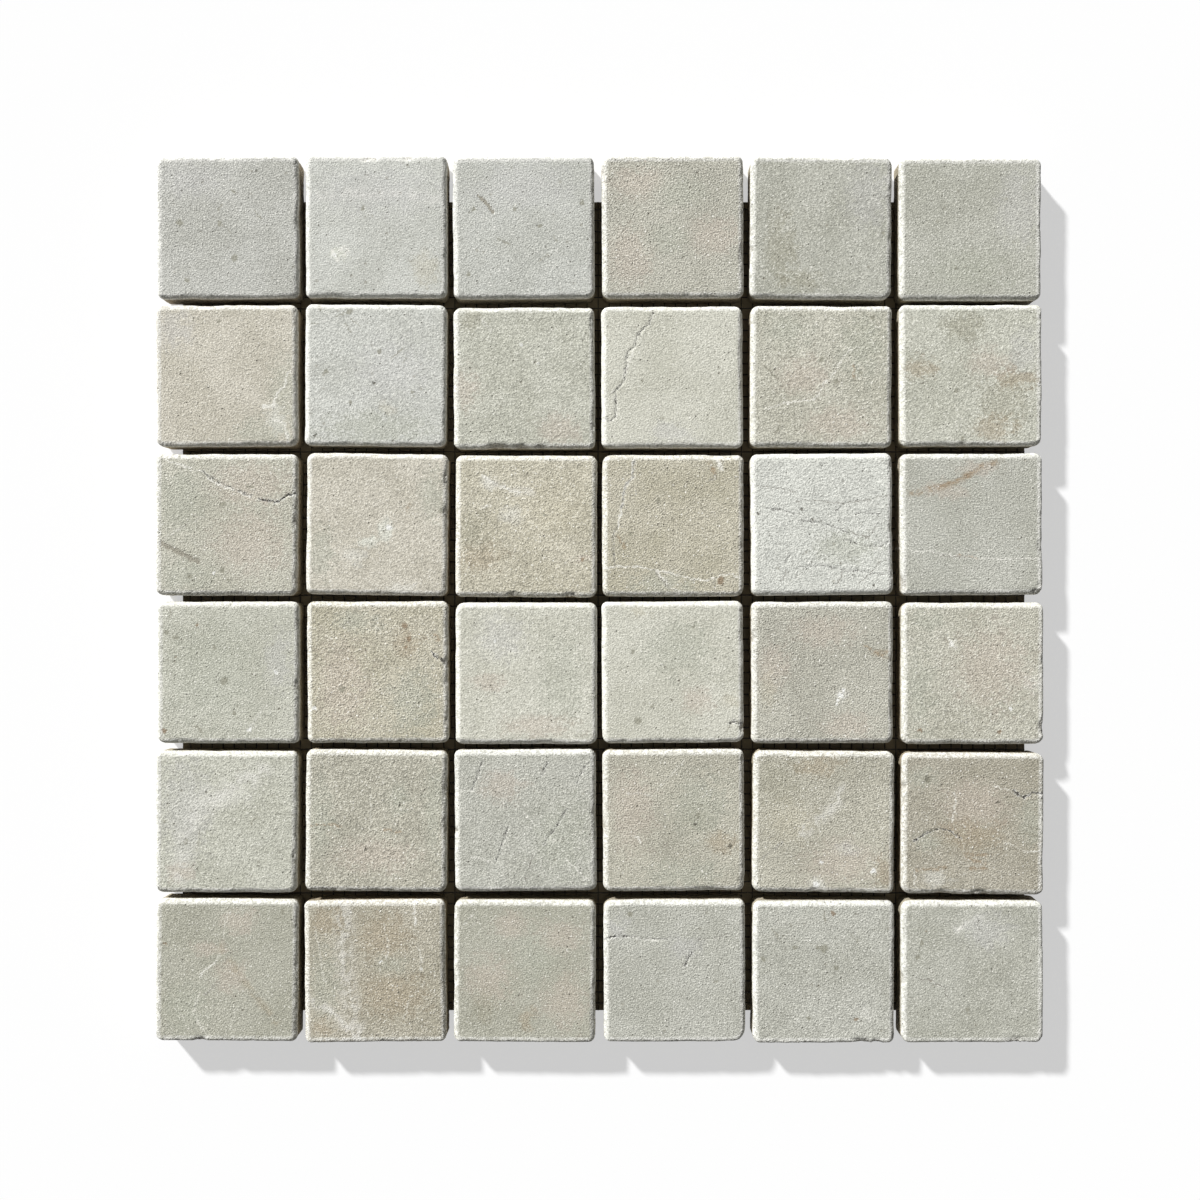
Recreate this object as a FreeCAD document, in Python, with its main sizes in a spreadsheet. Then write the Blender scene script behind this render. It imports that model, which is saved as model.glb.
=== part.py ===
import FreeCAD, Part
import math
import os

# A mosaic tile sheet: square tumbled stone tiles in a grid, glued to an open woven mesh.
# It lies flat with the mesh on the ground. X runs right, Y runs up the sheet, Z runs up
# through the tiles. The origin is at the middle of the sheet, on the mesh's underside.
# Lengths are in millimetres and angles in degrees.

doc = FreeCAD.newDocument("MosaicTileSheet")
sheet = doc.addObject("Spreadsheet::Sheet", "Sizes")

sizes = [
    ("columns", 6, "tiles from left to right"),
    ("rows", 6, "tiles from top to bottom"),
    ("tile_side", 48.6, "square side of a tile"),
    ("tile_thickness", 10.0, "tile from back to face"),
    ("joint", 2.2, "open joint between two tiles"),
    ("corner_radius", 2.4, "worn round of a tile's upright corners, seen from above"),
    ("face_arris", 1.2, "worn edge round a tile's face"),
    ("back_arris", 0.6, "worn edge round a tile's back"),
    ("yarn_pitch", 3.85, "from one yarn of the mesh to the next"),
    ("yarn_width", 0.5, "flat width of a yarn"),
    ("yarn_thickness", 0.25, "a yarn from underside to top"),
    ("mesh_inset_left", 5.7, "tile field's left edge to the mesh's"),
    ("mesh_inset_right", 2.9, "tile field's right edge to the mesh's"),
    ("mesh_inset_top", 12.5, "tile field's top edge to the mesh's"),
    ("mesh_inset_bottom", 7.8, "tile field's bottom edge to the mesh's"),
]
for line, (name, value, note) in enumerate(sizes, start=1):
    sheet.set("A%d" % line, name)
    sheet.set("B%d" % line, str(value))
    sheet.set("C%d" % line, note)
    sheet.setAlias("B%d" % line, name)
doc.recompute()

# How each tile was laid, row by row from the top and from the left in each row: its slip
# right and its slip up from its place in the grid, for a joint of 2.2 mm, and its turn.
laid = {
    1: [(-0.1, 0.1, 0.4), (-0.2, 0.4, 0.0), (-0.6, 0.1, 0.4),
        (-0.4, 0.3, 0.3), (-0.5, -0.1, -0.4), (-0.3, -0.5, 0.0)],
    2: [(-0.4, 0.3, 0.2), (-0.4, 0.5, -0.5), (-0.4, -0.5, 0.2),
        (-0.6, -0.2, 0.2), (-0.4, 0.0, -0.2), (-0.1, 0.4, 0.2)],
    3: [(-0.4, 0.1, -0.2), (0.1, 0.3, -0.7), (0.3, -0.4, -0.2),
        (-0.3, -0.2, 0.0), (-0.2, 0.3, 0.6), (0.1, 0.3, 0.4)],
    4: [(0.1, 0.4, 0.0), (0.3, 0.5, 0.2), (0.3, 0.1, 0.0),
        (-0.4, 0.5, 0.4), (0.0, 0.4, 0.1), (0.5, 0.1, 0.0)],
    5: [(-0.5, 0.1, -0.3), (-0.2, 0.5, -0.5), (0.0, 0.6, 0.4),
        (-0.1, 0.6, 0.4), (0.4, 0.1, -0.5), (0.5, -0.5, -0.4)],
    6: [(-0.4, 0.3, -0.5), (-0.6, -0.1, 0.6), (-0.2, -0.1, -0.3),
        (0.2, 0.0, 0.2), (0.4, -0.4, 0.0), (0.4, -0.3, 0.0)],
}

# Corners that tumbling wore further than the rest, as so many times the usual round:
# lower left, lower right, upper right, upper left.
worn_corners = {
    (1, 5): (1.0, 1.5, 1.0, 1.0),
    (2, 3): (1.0, 1.0, 1.0, 1.2),
    (4, 4): (1.0, 1.3, 1.0, 1.0),
    (5, 6): (1.3, 1.0, 1.0, 1.0),
    (6, 4): (1.0, 1.8, 1.0, 1.0),
}
usual_corners = (1.0, 1.0, 1.0, 1.0)


def size(name):
    return float(sheet.get(name))


def origin_plane(body, role):
    return next(item for item in body.Origin.OriginFeatures if item.Role == role)


def sketch_outline(body, name, role, points):
    """A closed outline of straight sides on one of the body's own planes."""
    sketch = body.newObject("Sketcher::SketchObject", name)
    sketch.AttachmentSupport = [(origin_plane(body, role), "")]
    sketch.MapMode = "FlatFace"
    corners = [FreeCAD.Vector(across, up, 0) for across, up in points]
    for start, end in zip(corners, corners[1:] + corners[:1]):
        sketch.addGeometry(Part.LineSegment(start, end), False)
    return sketch


def pad_outline(body, name, sketch, length):
    pad = body.newObject("PartDesign::Pad", name)
    pad.Profile = sketch
    pad.setExpression("Length", length)
    return pad


def face_at(shape, highest):
    """The name of a shape's highest or lowest flat face."""
    heights = [face.CenterOfMass.z for face in shape.Faces]
    chosen = heights.index(max(heights) if highest else min(heights))
    return "Face%d" % (chosen + 1)


def wear_edge(body, name, before, highest, width):
    """Breaks the edge round the highest or the lowest face of the feature before it."""
    doc.recompute()
    chamfer = body.newObject("PartDesign::Chamfer", name)
    chamfer.Base = (before, [face_at(before.Shape, highest)])
    chamfer.setExpression("Size", width)
    return chamfer


def tile_outline(side, radius, wear):
    """A square whose corners are worn round, each in three short flats."""
    half = side / 2
    points = []
    quarters = zip(((-1, -1), (1, -1), (1, 1), (-1, 1)), (180, 270, 0, 90), wear)
    for (across, up), first_angle, times in quarters:
        round_off = radius * times
        for step in range(4):
            angle = math.radians(first_angle + 30 * step)
            points.append((across * (half - round_off) + round_off * math.cos(angle),
                           up * (half - round_off) + round_off * math.sin(angle)))
    return points


def make_tile(row, column):
    name = "tile_r%d_c%d" % (row, column)
    body = doc.addObject("PartDesign::Body", name)
    body.Label = name
    wear = worn_corners.get((row, column), usual_corners)
    outline = tile_outline(size("tile_side"), size("corner_radius"), wear)
    sketch = sketch_outline(body, name + "_outline", "XY_Plane", outline)
    slab = pad_outline(body, name + "_slab", sketch, "Sizes.tile_thickness")
    face = wear_edge(body, name + "_face_arris", slab, True, "Sizes.face_arris")
    wear_edge(body, name + "_back_arris", face, False, "Sizes.back_arris")

    row_laid = laid.get(row, [])
    right, up, turn = row_laid[column - 1] if column <= len(row_laid) else (0, 0, 0)
    upright = FreeCAD.Vector(0, 0, 1)
    body.Placement = FreeCAD.Placement(FreeCAD.Vector(), FreeCAD.Rotation(upright, turn))
    pitch = "(Sizes.tile_side + Sizes.joint)"
    slip = "%.1f * Sizes.joint / 2.2"
    body.setExpression("Placement.Base.x",
                       "(%d - (Sizes.columns + 1) / 2) * %s + %s" % (column, pitch, slip % right))
    body.setExpression("Placement.Base.y",
                       "((Sizes.rows + 1) / 2 - %d) * %s + %s" % (row, pitch, slip % up))
    body.setExpression("Placement.Base.z", "2 * Sizes.yarn_thickness")
    return body


def yarn_section(width, thickness):
    """A flattened yarn: flat under and over, with both edges drawn to a blunt ridge."""
    half = width / 2
    flat = half - thickness / 2
    middle = thickness / 2
    return [(-flat, 0), (flat, 0), (half, middle), (flat, thickness), (-flat, thickness),
            (-half, middle)]


def make_yarns(name, role, axis, length, across):
    """One set of the mesh's yarns, side by side: each as long as the mesh, over its width."""
    body = doc.addObject("PartDesign::Body", name)
    body.Label = name
    body.AllowCompound = True
    section = yarn_section(size("yarn_width"), size("yarn_thickness"))
    sketch = sketch_outline(body, name + "_section", role, section)
    yarn = pad_outline(body, name + "_yarn", sketch, length)
    yarns = body.newObject("PartDesign::LinearPattern", name + "_yarns")
    yarns.Originals = [yarn]
    yarns.Direction = (origin_plane(body, axis), [""])
    yarns.setExpression("Occurrences", "floor(%s / Sizes.yarn_pitch)" % across)
    yarns.setExpression("Length", "(floor(%s / Sizes.yarn_pitch) - 1) * Sizes.yarn_pitch" % across)
    body.Tip = yarns
    return body


# The tile field and the mesh's four edges, from the sheet's sizes.
field_width = "(Sizes.columns * (Sizes.tile_side + Sizes.joint) - Sizes.joint)"
field_height = "(Sizes.rows * (Sizes.tile_side + Sizes.joint) - Sizes.joint)"
mesh_width = "(%s - Sizes.mesh_inset_left - Sizes.mesh_inset_right)" % field_width
mesh_height = "(%s - Sizes.mesh_inset_top - Sizes.mesh_inset_bottom)" % field_height
mesh_left = "(Sizes.mesh_inset_left - %s / 2)" % field_width
mesh_bottom = "(Sizes.mesh_inset_bottom - %s / 2)" % field_height
mesh_top = "(%s / 2 - Sizes.mesh_inset_top)" % field_height

# What is left over beyond the last whole pitch is shared between the mesh's two edges.
first_yarn = "(%s - (floor(%s / Sizes.yarn_pitch) - 1) * Sizes.yarn_pitch) / 2"

sub_parts = []

weft = make_yarns("mesh_weft", "YZ_Plane", "Y_Axis", mesh_width, mesh_height)
weft.setExpression("Placement.Base.x", mesh_left)
weft.setExpression("Placement.Base.y", mesh_bottom + " + " + first_yarn % (mesh_height, mesh_height))
sub_parts.append(weft)

# The warp's outline is drawn looking along +Y, so its yarns run down from the mesh's top edge.
warp = make_yarns("mesh_warp", "XZ_Plane", "X_Axis", mesh_height, mesh_width)
warp.setExpression("Placement.Base.x", mesh_left + " + " + first_yarn % (mesh_width, mesh_width))
warp.setExpression("Placement.Base.y", mesh_top)
warp.setExpression("Placement.Base.z", "Sizes.yarn_thickness")
sub_parts.append(warp)

for row in range(1, int(size("rows")) + 1):
    for column in range(1, int(size("columns")) + 1):
        sub_parts.append(make_tile(row, column))

doc.recompute()

for item in doc.Objects:
    if "Invalid" in item.State or "Error" in item.State:
        raise RuntimeError("%s did not compute: %s" % (item.Name, item.State))
for part in sub_parts:
    if part.Shape.isNull() or not part.Shape.isValid():
        raise RuntimeError("%s has no valid shape" % part.Label)

os.makedirs("parts", exist_ok=True)
for part in sub_parts:
    part.Shape.exportStep("parts/%s.step" % part.Label)
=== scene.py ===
import math
import random

import bmesh
import bpy
from mathutils import Matrix, Vector, noise


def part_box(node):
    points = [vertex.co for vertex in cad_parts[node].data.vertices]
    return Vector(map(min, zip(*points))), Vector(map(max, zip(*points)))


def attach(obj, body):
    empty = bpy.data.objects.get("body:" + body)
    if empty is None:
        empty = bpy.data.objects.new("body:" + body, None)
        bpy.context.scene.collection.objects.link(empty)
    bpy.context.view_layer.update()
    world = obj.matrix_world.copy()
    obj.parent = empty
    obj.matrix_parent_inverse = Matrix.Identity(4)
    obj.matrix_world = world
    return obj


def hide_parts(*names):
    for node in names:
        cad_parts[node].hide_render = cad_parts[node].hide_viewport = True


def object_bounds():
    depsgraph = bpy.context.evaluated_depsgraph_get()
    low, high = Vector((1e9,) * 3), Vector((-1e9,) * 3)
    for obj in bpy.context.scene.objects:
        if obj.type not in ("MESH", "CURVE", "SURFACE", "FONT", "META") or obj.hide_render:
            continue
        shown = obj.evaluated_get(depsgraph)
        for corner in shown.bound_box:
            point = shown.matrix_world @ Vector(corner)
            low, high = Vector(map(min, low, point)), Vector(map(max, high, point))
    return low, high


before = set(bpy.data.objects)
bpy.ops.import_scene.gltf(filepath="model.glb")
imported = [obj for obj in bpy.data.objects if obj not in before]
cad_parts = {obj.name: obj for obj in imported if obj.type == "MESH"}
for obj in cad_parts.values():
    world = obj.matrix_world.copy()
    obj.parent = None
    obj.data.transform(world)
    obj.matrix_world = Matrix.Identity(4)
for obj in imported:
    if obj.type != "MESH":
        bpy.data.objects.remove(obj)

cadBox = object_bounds()
mm = 0.001


def shade(red, green, blue):  # a colour as it looks on screen, made linear
    return tuple(((c / 255 + 0.055) / 1.055) ** 2.4 for c in (red, green, blue)) + (1.0,)


# The stone's usual tones, and how strong the sandy grain shows in each.
stoneTones = {
    "cloudGrey": {"light": shade(201, 202, 195), "dark": shade(191, 192, 184), "grain": 0.9},
    "softGrey": {"light": shade(196, 197, 190), "dark": shade(186, 187, 179), "grain": 1.0},
    "grey": {"light": shade(187, 187, 177), "dark": shade(177, 177, 166), "grain": 1.12},
    "plainGrey": {"light": shade(190, 190, 183), "dark": shade(180, 180, 172), "grain": 1.1},
    "deepGrey": {"light": shade(182, 182, 171), "dark": shade(172, 172, 160), "grain": 0.95},
    "greenGrey": {"light": shade(194, 194, 181), "dark": shade(184, 184, 170), "grain": 1.05},
    "pale": {"light": shade(204, 203, 190), "dark": shade(195, 194, 180), "grain": 0.9},
    "chalk": {"light": shade(212, 213, 205), "dark": shade(203, 204, 196), "grain": 1.1},
    "roseBeige": {"light": shade(201, 196, 182), "dark": shade(191, 186, 171), "grain": 1.0},
    "beige": {"light": shade(192, 190, 176), "dark": shade(182, 180, 165), "grain": 1.2},
    "sand": {"light": shade(198, 193, 175), "dark": shade(187, 182, 163), "grain": 1.25},
    "deepSand": {"light": shade(191, 186, 168), "dark": shade(180, 175, 155), "grain": 1.35},
    "dullBeige": {"light": shade(186, 183, 168), "dark": shade(175, 172, 157), "grain": 1.32},
    "dullStone": {"light": shade(188, 186, 173), "dark": shade(177, 175, 162), "grain": 1.42},
    "dullGreen": {"light": shade(177, 176, 162), "dark": shade(168, 167, 152), "grain": 1.0},
    "dullSand": {"light": shade(180, 175, 159), "dark": shade(168, 163, 146), "grain": 1.2},
    "umber": {"light": shade(174, 169, 154), "dark": shade(162, 157, 141), "grain": 1.2},
}

# What a mark looks like: its colour, how strongly it covers and how broken up it is. Some are
# also cut to a depth in mm, have a knocked white rim beside them (rim), or end softly, over so
# many times their width.
lineKinds = {
    "crack": {"colour": shade(52, 45, 38), "cover": 0.95, "broken": 0.42,
              "depth": 0.5, "rim": 0.75},
    "dotted": {"colour": shade(60, 54, 46), "cover": 0.9, "broken": 0.54,
               "depth": 0.35, "rim": 0.35},
    "hairline": {"colour": shade(120, 114, 100), "cover": 0.7, "broken": 0.48,
                 "depth": 0.15, "rim": 0.3, "soft": 0.2},
    "vein": {"colour": shade(238, 236, 227), "cover": 0.8, "broken": 0.44, "soft": 0.4},
    "thread": {"colour": shade(226, 224, 213), "cover": 0.6, "broken": 0.47, "soft": 0.5},
    "band": {"colour": shade(226, 224, 218), "cover": 0.42, "broken": 0.49, "soft": 1.2},
    "streak": {"colour": shade(140, 137, 122), "cover": 0.7, "broken": 0.36, "soft": 0.3},
    "scratch": {"colour": shade(150, 145, 131), "cover": 0.85, "broken": 0.25, "depth": 0.12},
    "stain": {"colour": shade(164, 148, 122), "cover": 0.34, "broken": 0.47, "soft": 1.6},
    "rust": {"colour": shade(150, 127, 98), "cover": 0.6, "broken": 0.47, "soft": 0.9},
}
spotKinds = {
    "grey": {"colour": shade(140, 138, 122), "cover": 0.72},
    "dark": {"colour": shade(96, 92, 80), "cover": 0.8, "depth": 0.2},
    "brown": {"colour": shade(132, 111, 87), "cover": 0.75},
    "white": {"colour": shade(240, 240, 236), "cover": 0.8},
}
patchKinds = {
    "lilac": {"colour": shade(196, 195, 193), "cover": 0.34},
    "rose": {"colour": shade(196, 184, 170), "cover": 0.45},
    "green": {"colour": shade(177, 179, 164), "cover": 0.5},
    "olive": {"colour": shade(158, 155, 136), "cover": 0.5},
    "brown": {"colour": shade(168, 154, 130), "cover": 0.5},
    "white": {"colour": shade(222, 221, 212), "cover": 0.45},
    "chalk": {"colour": shade(214, 215, 203), "cover": 0.8},
    "yellow": {"colour": shade(196, 189, 166), "cover": 0.32},
}

# Each tile by row and column: its tone, and its marks in mm from its middle, right and up.
# A line is its kind, its width and its points. Spots are their kind, and right, up and radius for
# each. Patches are their kind, and right, up and the reach both ways for each. Chips are right,
# up, reach and depth.
tileLooks = {
    (1, 1): {
        "tone": "plainGrey",
        "lines": [("streak", 0.4, (-2, 8), (-3.2, 5.8)),
                  ("streak", 0.3, (-1.6, 0.9), (1.2, -1.9)), ("streak", 0.3, (9, 6), (11.5, 3))],
        "spots": [("grey", (-2.8, 1.3, 0.9), (-16.5, 1.6, 1.3), (2.2, 12.4, 0.8),
                   (-14, -17.9, 0.9), (2.5, -10.2, 1.1)), ("dark", (10, 19.5, 0.35))],
        "patches": [("lilac", (-12, 17, 12, 7))],
    },
    (1, 2): {
        "tone": "cloudGrey",
        "lines": [("band", 1.6, (-23, 10), (-8, 11.5), (10, 11), (21, 9)),
                  ("vein", 0.5, (-6, 23.4), (-3, 22.4), (0.4, 23)),
                  ("vein", 0.4, (7.6, 22.6), (13, 22.8)),
                  ("vein", 0.9, (-15.2, -8.4), (-14, -9.8), (-13.2, -11.4)),
                  ("vein", 0.6, (-13, -8.8), (-11, -7), (-9.4, -8.4), (-11, -9.6))],
        "spots": [("white", (-14.2, -9.7, 0.8)), ("dark", (-10.2, -8.6, 0.4)),
                  ("grey", (-4.5, 6, 0.8)), ("dark", (-19.5, 0.5, 0.4))],
        "patches": [("chalk", (-13, -9, 3.6, 2.8)), ("yellow", (17, -14, 5, 7)),
                    ("lilac", (0, 12, 22, 9))],
        "chips": [(-2, 24, 4, 1.1), (11, 24, 3, 0.7), (7, 24, 1.6, 0.7)],
    },
    (1, 3): {
        "tone": "softGrey",
        "lines": [("scratch", 1, (-15.2, 10.9), (-12.6, 8.4), (-10.3, 4.8)),
                  ("streak", 0.5, (-8.7, -3.6), (-4.7, -5.8)),
                  ("streak", 0.35, (5.4, -11.4), (8.6, -9.4)),
                  ("streak", 0.3, (10, -2.6), (11, -4.6))],
        "spots": [("grey", (-18.7, -16.1, 0.8), (-17, 6.2, 0.8), (20, 8.6, 0.9), (5.6, 0.6, 0.8),
                   (-2.8, 6.2, 0.8))],
        "patches": [("lilac", (0, 14, 20, 8))],
    },
    (1, 4): {
        "tone": "dullStone",
        "spots": [("brown", (-9.6, 22.4, 0.5))],
        "patches": [("rose", (-15, -10, 9, 11), (14, -3, 10, 7), (-12, 15, 11, 6)),
                    ("green", (3, 12, 10, 6), (-2, -4, 8, 6))],
        "chips": [(-23.8, 19, 2.4, 0.6)],
    },
    (1, 5): {
        "tone": "deepGrey",
        "spots": [("grey", (20.8, -1.8, 0.7)), ("dark", (22.6, 11.2, 0.5))],
        "patches": [("olive", (-14, -6, 6, 14), (-7, -17.6, 8, 4)), ("lilac", (16, 12, 9, 12))],
        "chips": [(-24, -8, 3.2, 0.6), (-24, -1, 2.2, 0.6)],
    },
    (1, 6): {
        "tone": "deepGrey",
        "spots": [("grey", (-5.2, -13.5, 0.5))],
        "patches": [("green", (0, -14, 16, 8)), ("lilac", (16, 8, 8, 14))],
    },
    (2, 1): {
        "tone": "roseBeige",
        "lines": [("vein", 0.6, (21.8, 1.6), (20.8, 0.9), (19.9, -2.9), (18.4, -4.8),
                   (16.7, -7.8), (15.9, -10.2)), ("vein", 0.9, (12.4, -10.6), (16, -10.4)),
                  ("vein", 0.6, (15.9, -15.1), (18, -15.6), (19.9, -16.6), (20.9, -22.5))],
        "spots": [("grey", (-4, 8.2, 0.6), (-3, 18.6, 0.6))],
        "patches": [("green", (20, -8, 6.5, 15), (12, -19.5, 10, 5.5)),
                    ("white", (17, -15, 4, 5)), ("lilac", (-18, 16, 6, 8))],
    },
    (2, 2): {
        "tone": "cloudGrey",
        "lines": [("streak", 0.3, (-22, 17.6), (-19, 17.6)),
                  ("streak", 0.3, (-13.6, 19.8), (-11.6, 20.6), (-10, 21.4)),
                  ("streak", 0.35, (-8.3, 18.8), (-5.3, 16.8)),
                  ("streak", 0.25, (-10.4, 17.4), (-8.6, 14.8)),
                  ("streak", 0.4, (5.5, 5.5), (9.4, 9)), ("streak", 0.25, (9.4, 4.5), (11, 6))],
        "spots": [("grey", (-8.8, 21.9, 1.1), (-19, 23, 0.9), (1.4, 7.8, 0.8)),
                  ("dark", (-0.4, -2.9, 0.4)),
                  ("grey", (-17, 1.3, 0.9), (12.4, -5.8, 0.5), (-8.4, -9.4, 0.6)),
                  ("dark", (-20.6, -20.6, 0.4))],
        "patches": [("green", (0, -18, 20, 6)), ("yellow", (3.6, -10.8, 3, 2)),
                    ("lilac", (6, 2, 14, 12))],
    },
    (2, 3): {
        "tone": "greenGrey",
        "lines": [("band", 0.4, (-15.6, 21), (-11, 16))],
        "spots": [("white", (-0.8, 11.2, 0.5), (4.8, 5.2, 0.5)), ("dark", (-18.6, 3.6, 0.35))],
        "patches": [("rose", (12, -18, 8, 6), (-20, -4, 5, 8)), ("olive", (-18, 20, 5, 4))],
        "chips": [(-9, -24, 5, 0.8), (-1, -24, 3, 0.8), (6, -24, 2.6, 0.6)],
    },
    (2, 4): {
        "tone": "pale",
        "lines": [("dotted", 0.42, (-6.4, 22.7), (-7.9, 18.3), (-11.8, 14.4), (-12.8, 10.4),
                   (-15.4, 8), (-15.7, 2.6), (-16.7, -1.9), (-19.7, -5.3), (-19.2, -9.2),
                   (-19.4, -13.7), (-21.1, -15.1), (-23.6, -14.2)),
                  ("vein", 0.3, (-12.8, 10.4), (-14.2, 6), (-16.4, 1))],
        "spots": [("dark", (-15.6, 2.8, 0.55), (-11.6, 14.6, 0.45)),
                  ("grey", (-4, -14.2, 0.5), (-10.4, -1, 0.5))],
        "patches": [("lilac", (0, -19, 9, 4))],
    },
    (2, 5): {
        "tone": "beige",
        "lines": [("vein", 0.35, (-18.8, -11.2), (-12.9, -9.2), (-6, -8.3), (-1.6, -7.8),
                   (0.4, -2.9), (3.8, 0.1), (7.3, 6.5), (10.2, 9.4)),
                  ("rust", 0.35, (11.2, 4), (11, -1.4)),
                  ("streak", 0.4, (-20.3, 4.2), (-14.8, -0.9)),
                  ("streak", 0.5, (-14, -16.6), (-15.8, -19.6))],
        "spots": [("grey", (0, 5.8, 1), (4.8, -1.9, 0.9), (6.8, -1.2, 0.6), (17.4, 20.3, 0.8),
                   (13.6, 1.2, 0.6), (-7.4, 21.2, 0.7))],
        "patches": [("rose", (-6, 0, 10, 7), (6, -16, 12, 6)),
                    ("green", (14, 10, 9, 12), (-12, 16, 8, 6))],
    },
    (2, 6): {
        "tone": "greenGrey",
        "spots": [("grey", (-5, -5.2, 0.7), (-2.8, -21.6, 0.7))],
        "patches": [("brown", (-17.4, 2, 6, 4)), ("olive", (-3, 17, 8, 5)),
                    ("lilac", (18, 6, 6, 9)), ("olive", (12, -8, 10, 10)),
                    ("brown", (16, -1, 8, 4)), ("rose", (6, 4, 8, 6)), ("brown", (8, -18, 8, 5))],
        "chips": [(-2.8, -24, 2, 0.5)],
    },
    (3, 1): {
        "tone": "beige",
        "lines": [("vein", 0.35, (-22.1, 23.6), (-19.1, 21.5), (-15, 20.2), (-11.9, 18.7),
                   (-8.3, 18)), ("vein", 0.3, (-6.8, 16.2), (-1.1, 12.7), (4, 11.2), (8.6, 9.2)),
                  ("dotted", 0.4, (-8.3, 18.5), (-6.8, 16.9), (-4.2, 15.4), (-1.1, 13.4),
                   (4, 12), (6.1, 10.5), (8.6, 9.8)),
                  ("crack", 0.42, (11.2, 8.7), (13.8, 8.4), (16.8, 7.6), (18.9, 8.7),
                   (20.9, 10.2), (23.3, 10.5)),
                  ("scratch", 1.5, (-22.4, -6.4), (-16, -9.6), (-9.6, -12.8)),
                  ("band", 0.3, (-21, -4.5), (-14, 0), (-7.7, 3))],
        "spots": [("grey", (-2.1, 6.9, 0.7), (-1, 6.9, 0.7), (-1.6, -15.4, 0.9),
                   (-12.9, -17.7, 0.8), (7.4, 13.2, 0.6), (8.9, 13, 0.6), (0.7, -19, 0.7)),
                  ("white", (-4.2, -16.6, 0.6)), ("dark", (22.6, 17, 0.5))],
        "patches": [("green", (-16, 8, 9, 13)), ("rose", (8, 14, 14, 8), (8, -6, 14, 12)),
                    ("green", (-14, -17, 11, 6))],
        "chips": [(24, 1, 3, 0.6), (24, -18, 3, 0.6)],
    },
    (3, 2): {
        "tone": "roseBeige",
        "lines": [("rust", 0.5, (10.2, 5.2), (11.2, 6.8))],
        "spots": [("grey", (22, 4.4, 0.9)), ("white", (4, -1, 0.9))],
        "patches": [("chalk", (2.8, -2, 2.8, 4.2), (-2.8, -6, 4.6, 2.2)),
                    ("white", (-8, -10.5, 4.4, 3.8), (8.4, -22, 5, 2)),
                    ("green", (19, 10, 5, 10), (-19, -10, 5, 10))],
        "chips": [(24, 15, 4, 0.6), (24, 4, 3, 0.6)],
    },
    (3, 3): {
        "tone": "sand", "mottled": 1.6,
        "lines": [("band", 1.2, (-13, 15.5), (-4, 12), (2, 11.6)),
                  ("vein", 0.5, (-14.7, 17.2), (-12.4, 15.4), (-10.6, 14.7)),
                  ("vein", 0.45, (-9, 13.7), (-5, 12.2), (-1.4, 11.6)),
                  ("vein", 0.6, (-14.7, 6.5), (-12.1, 7.2))],
        "spots": [("grey", (6, 4, 0.6)), ("brown", (19.4, -11.4, 0.6))],
        "patches": [("white", (-13, 14.5, 3, 2.6), (-5, 4, 5, 3)),
                    ("brown", (-15.7, -10.7, 8, 6)), ("olive", (-18, -2, 5, 8)),
                    ("rose", (19.7, -11.2, 3, 1.6)), ("yellow", (8, 6, 12, 10))],
        "chips": [(-4, -24, 2.6, 1), (15.2, -24, 2.6, 1), (22, -21, 2.4, 0.6)],
    },
    (3, 4): {
        "tone": "deepSand", "mottled": 1.3,
        "lines": [("dotted", 0.42, (-13.3, 22.2), (-13.4, 16.8), (-16.4, 12.9), (-17.3, 6)),
                  ("vein", 0.6, (-13.8, 22.2), (-13.8, 16.8), (-16.7, 12.9), (-17.7, 6),
                   (-18.7, -0.4)),
                  ("dotted", 0.3, (-18.7, -0.4), (-20.2, -2.9), (-20.6, -7.8), (-19.6, -13.7)),
                  ("vein", 0.4, (-23.1, -14.7), (-19.2, -13.7), (-11.3, -14.2), (-6.4, -15.1),
                   (-1.5, -16.1), (3.4, -17.1), (7.4, -18.4), (12.3, -18.6), (16.2, -17.1),
                   (19.7, -16.6), (23.1, -18.1)),
                  ("vein", 0.32, (-6.4, -15.1), (-3.4, -18.1), (-0.5, -21.5), (3.4, -22.5)),
                  ("hairline", 0.32, (-6.4, -15.6), (-3.8, -18.6), (-1, -21.8)),
                  ("rust", 0.7, (11.8, 22.2), (14.4, 18)),
                  ("rust", 0.8, (13, 21.6), (13.8, 19.6)), ("vein", 1, (15.3, 22.4), (16.6, 19)),
                  ("hairline", 0.35, (14.8, 17.4), (12.2, 15)),
                  ("rust", 0.6, (-18.7, -3.8), (-16.7, -7.3)),
                  ("hairline", 0.25, (14.1, -18.6), (14.1, -22))],
        "spots": [("brown", (16.2, -18.8, 1.3)), ("grey", (-14.6, -2.8, 0.8), (-5, 8.6, 0.8))],
        "patches": [("green", (-4, -20, 12, 4))],
    },
    (3, 5): {
        "tone": "chalk", "pitted": 1.6,
        "lines": [("hairline", 0.3, (-22.2, 13.4), (-15.8, 12.4), (-8.9, 10.9)),
                  ("dotted", 0.4, (-18.8, 5.5), (-13.9, 4.8), (-9.4, 3.5)),
                  ("dotted", 0.38, (-7, 1.1), (-1.1, 0.6), (3.8, -0.9), (9.7, -2.9)),
                  ("dotted", 0.4, (7.8, -5.3), (14.6, -7.3), (20, -7.8), (22.5, -6.3)),
                  ("dotted", 0.3, (12.2, 3.7), (20.6, 3.8)),
                  ("hairline", 0.3, (-9, 8), (0, 8), (7.8, 7), (15.6, 8.5), (23.5, 9.9)),
                  ("dotted", 0.3, (7.8, 7), (4.8, 4.5)),
                  ("dotted", 0.35, (-8, -14.7), (-0.1, -14.2), (7.8, -15.6), (15.6, -16.6),
                   (21.5, -17.6)), ("dotted", 0.35, (-10.9, -10.2), (-12.9, -13.7)),
                  ("hairline", 0.35, (-12, -15.6), (-14, -19.6)),
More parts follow.
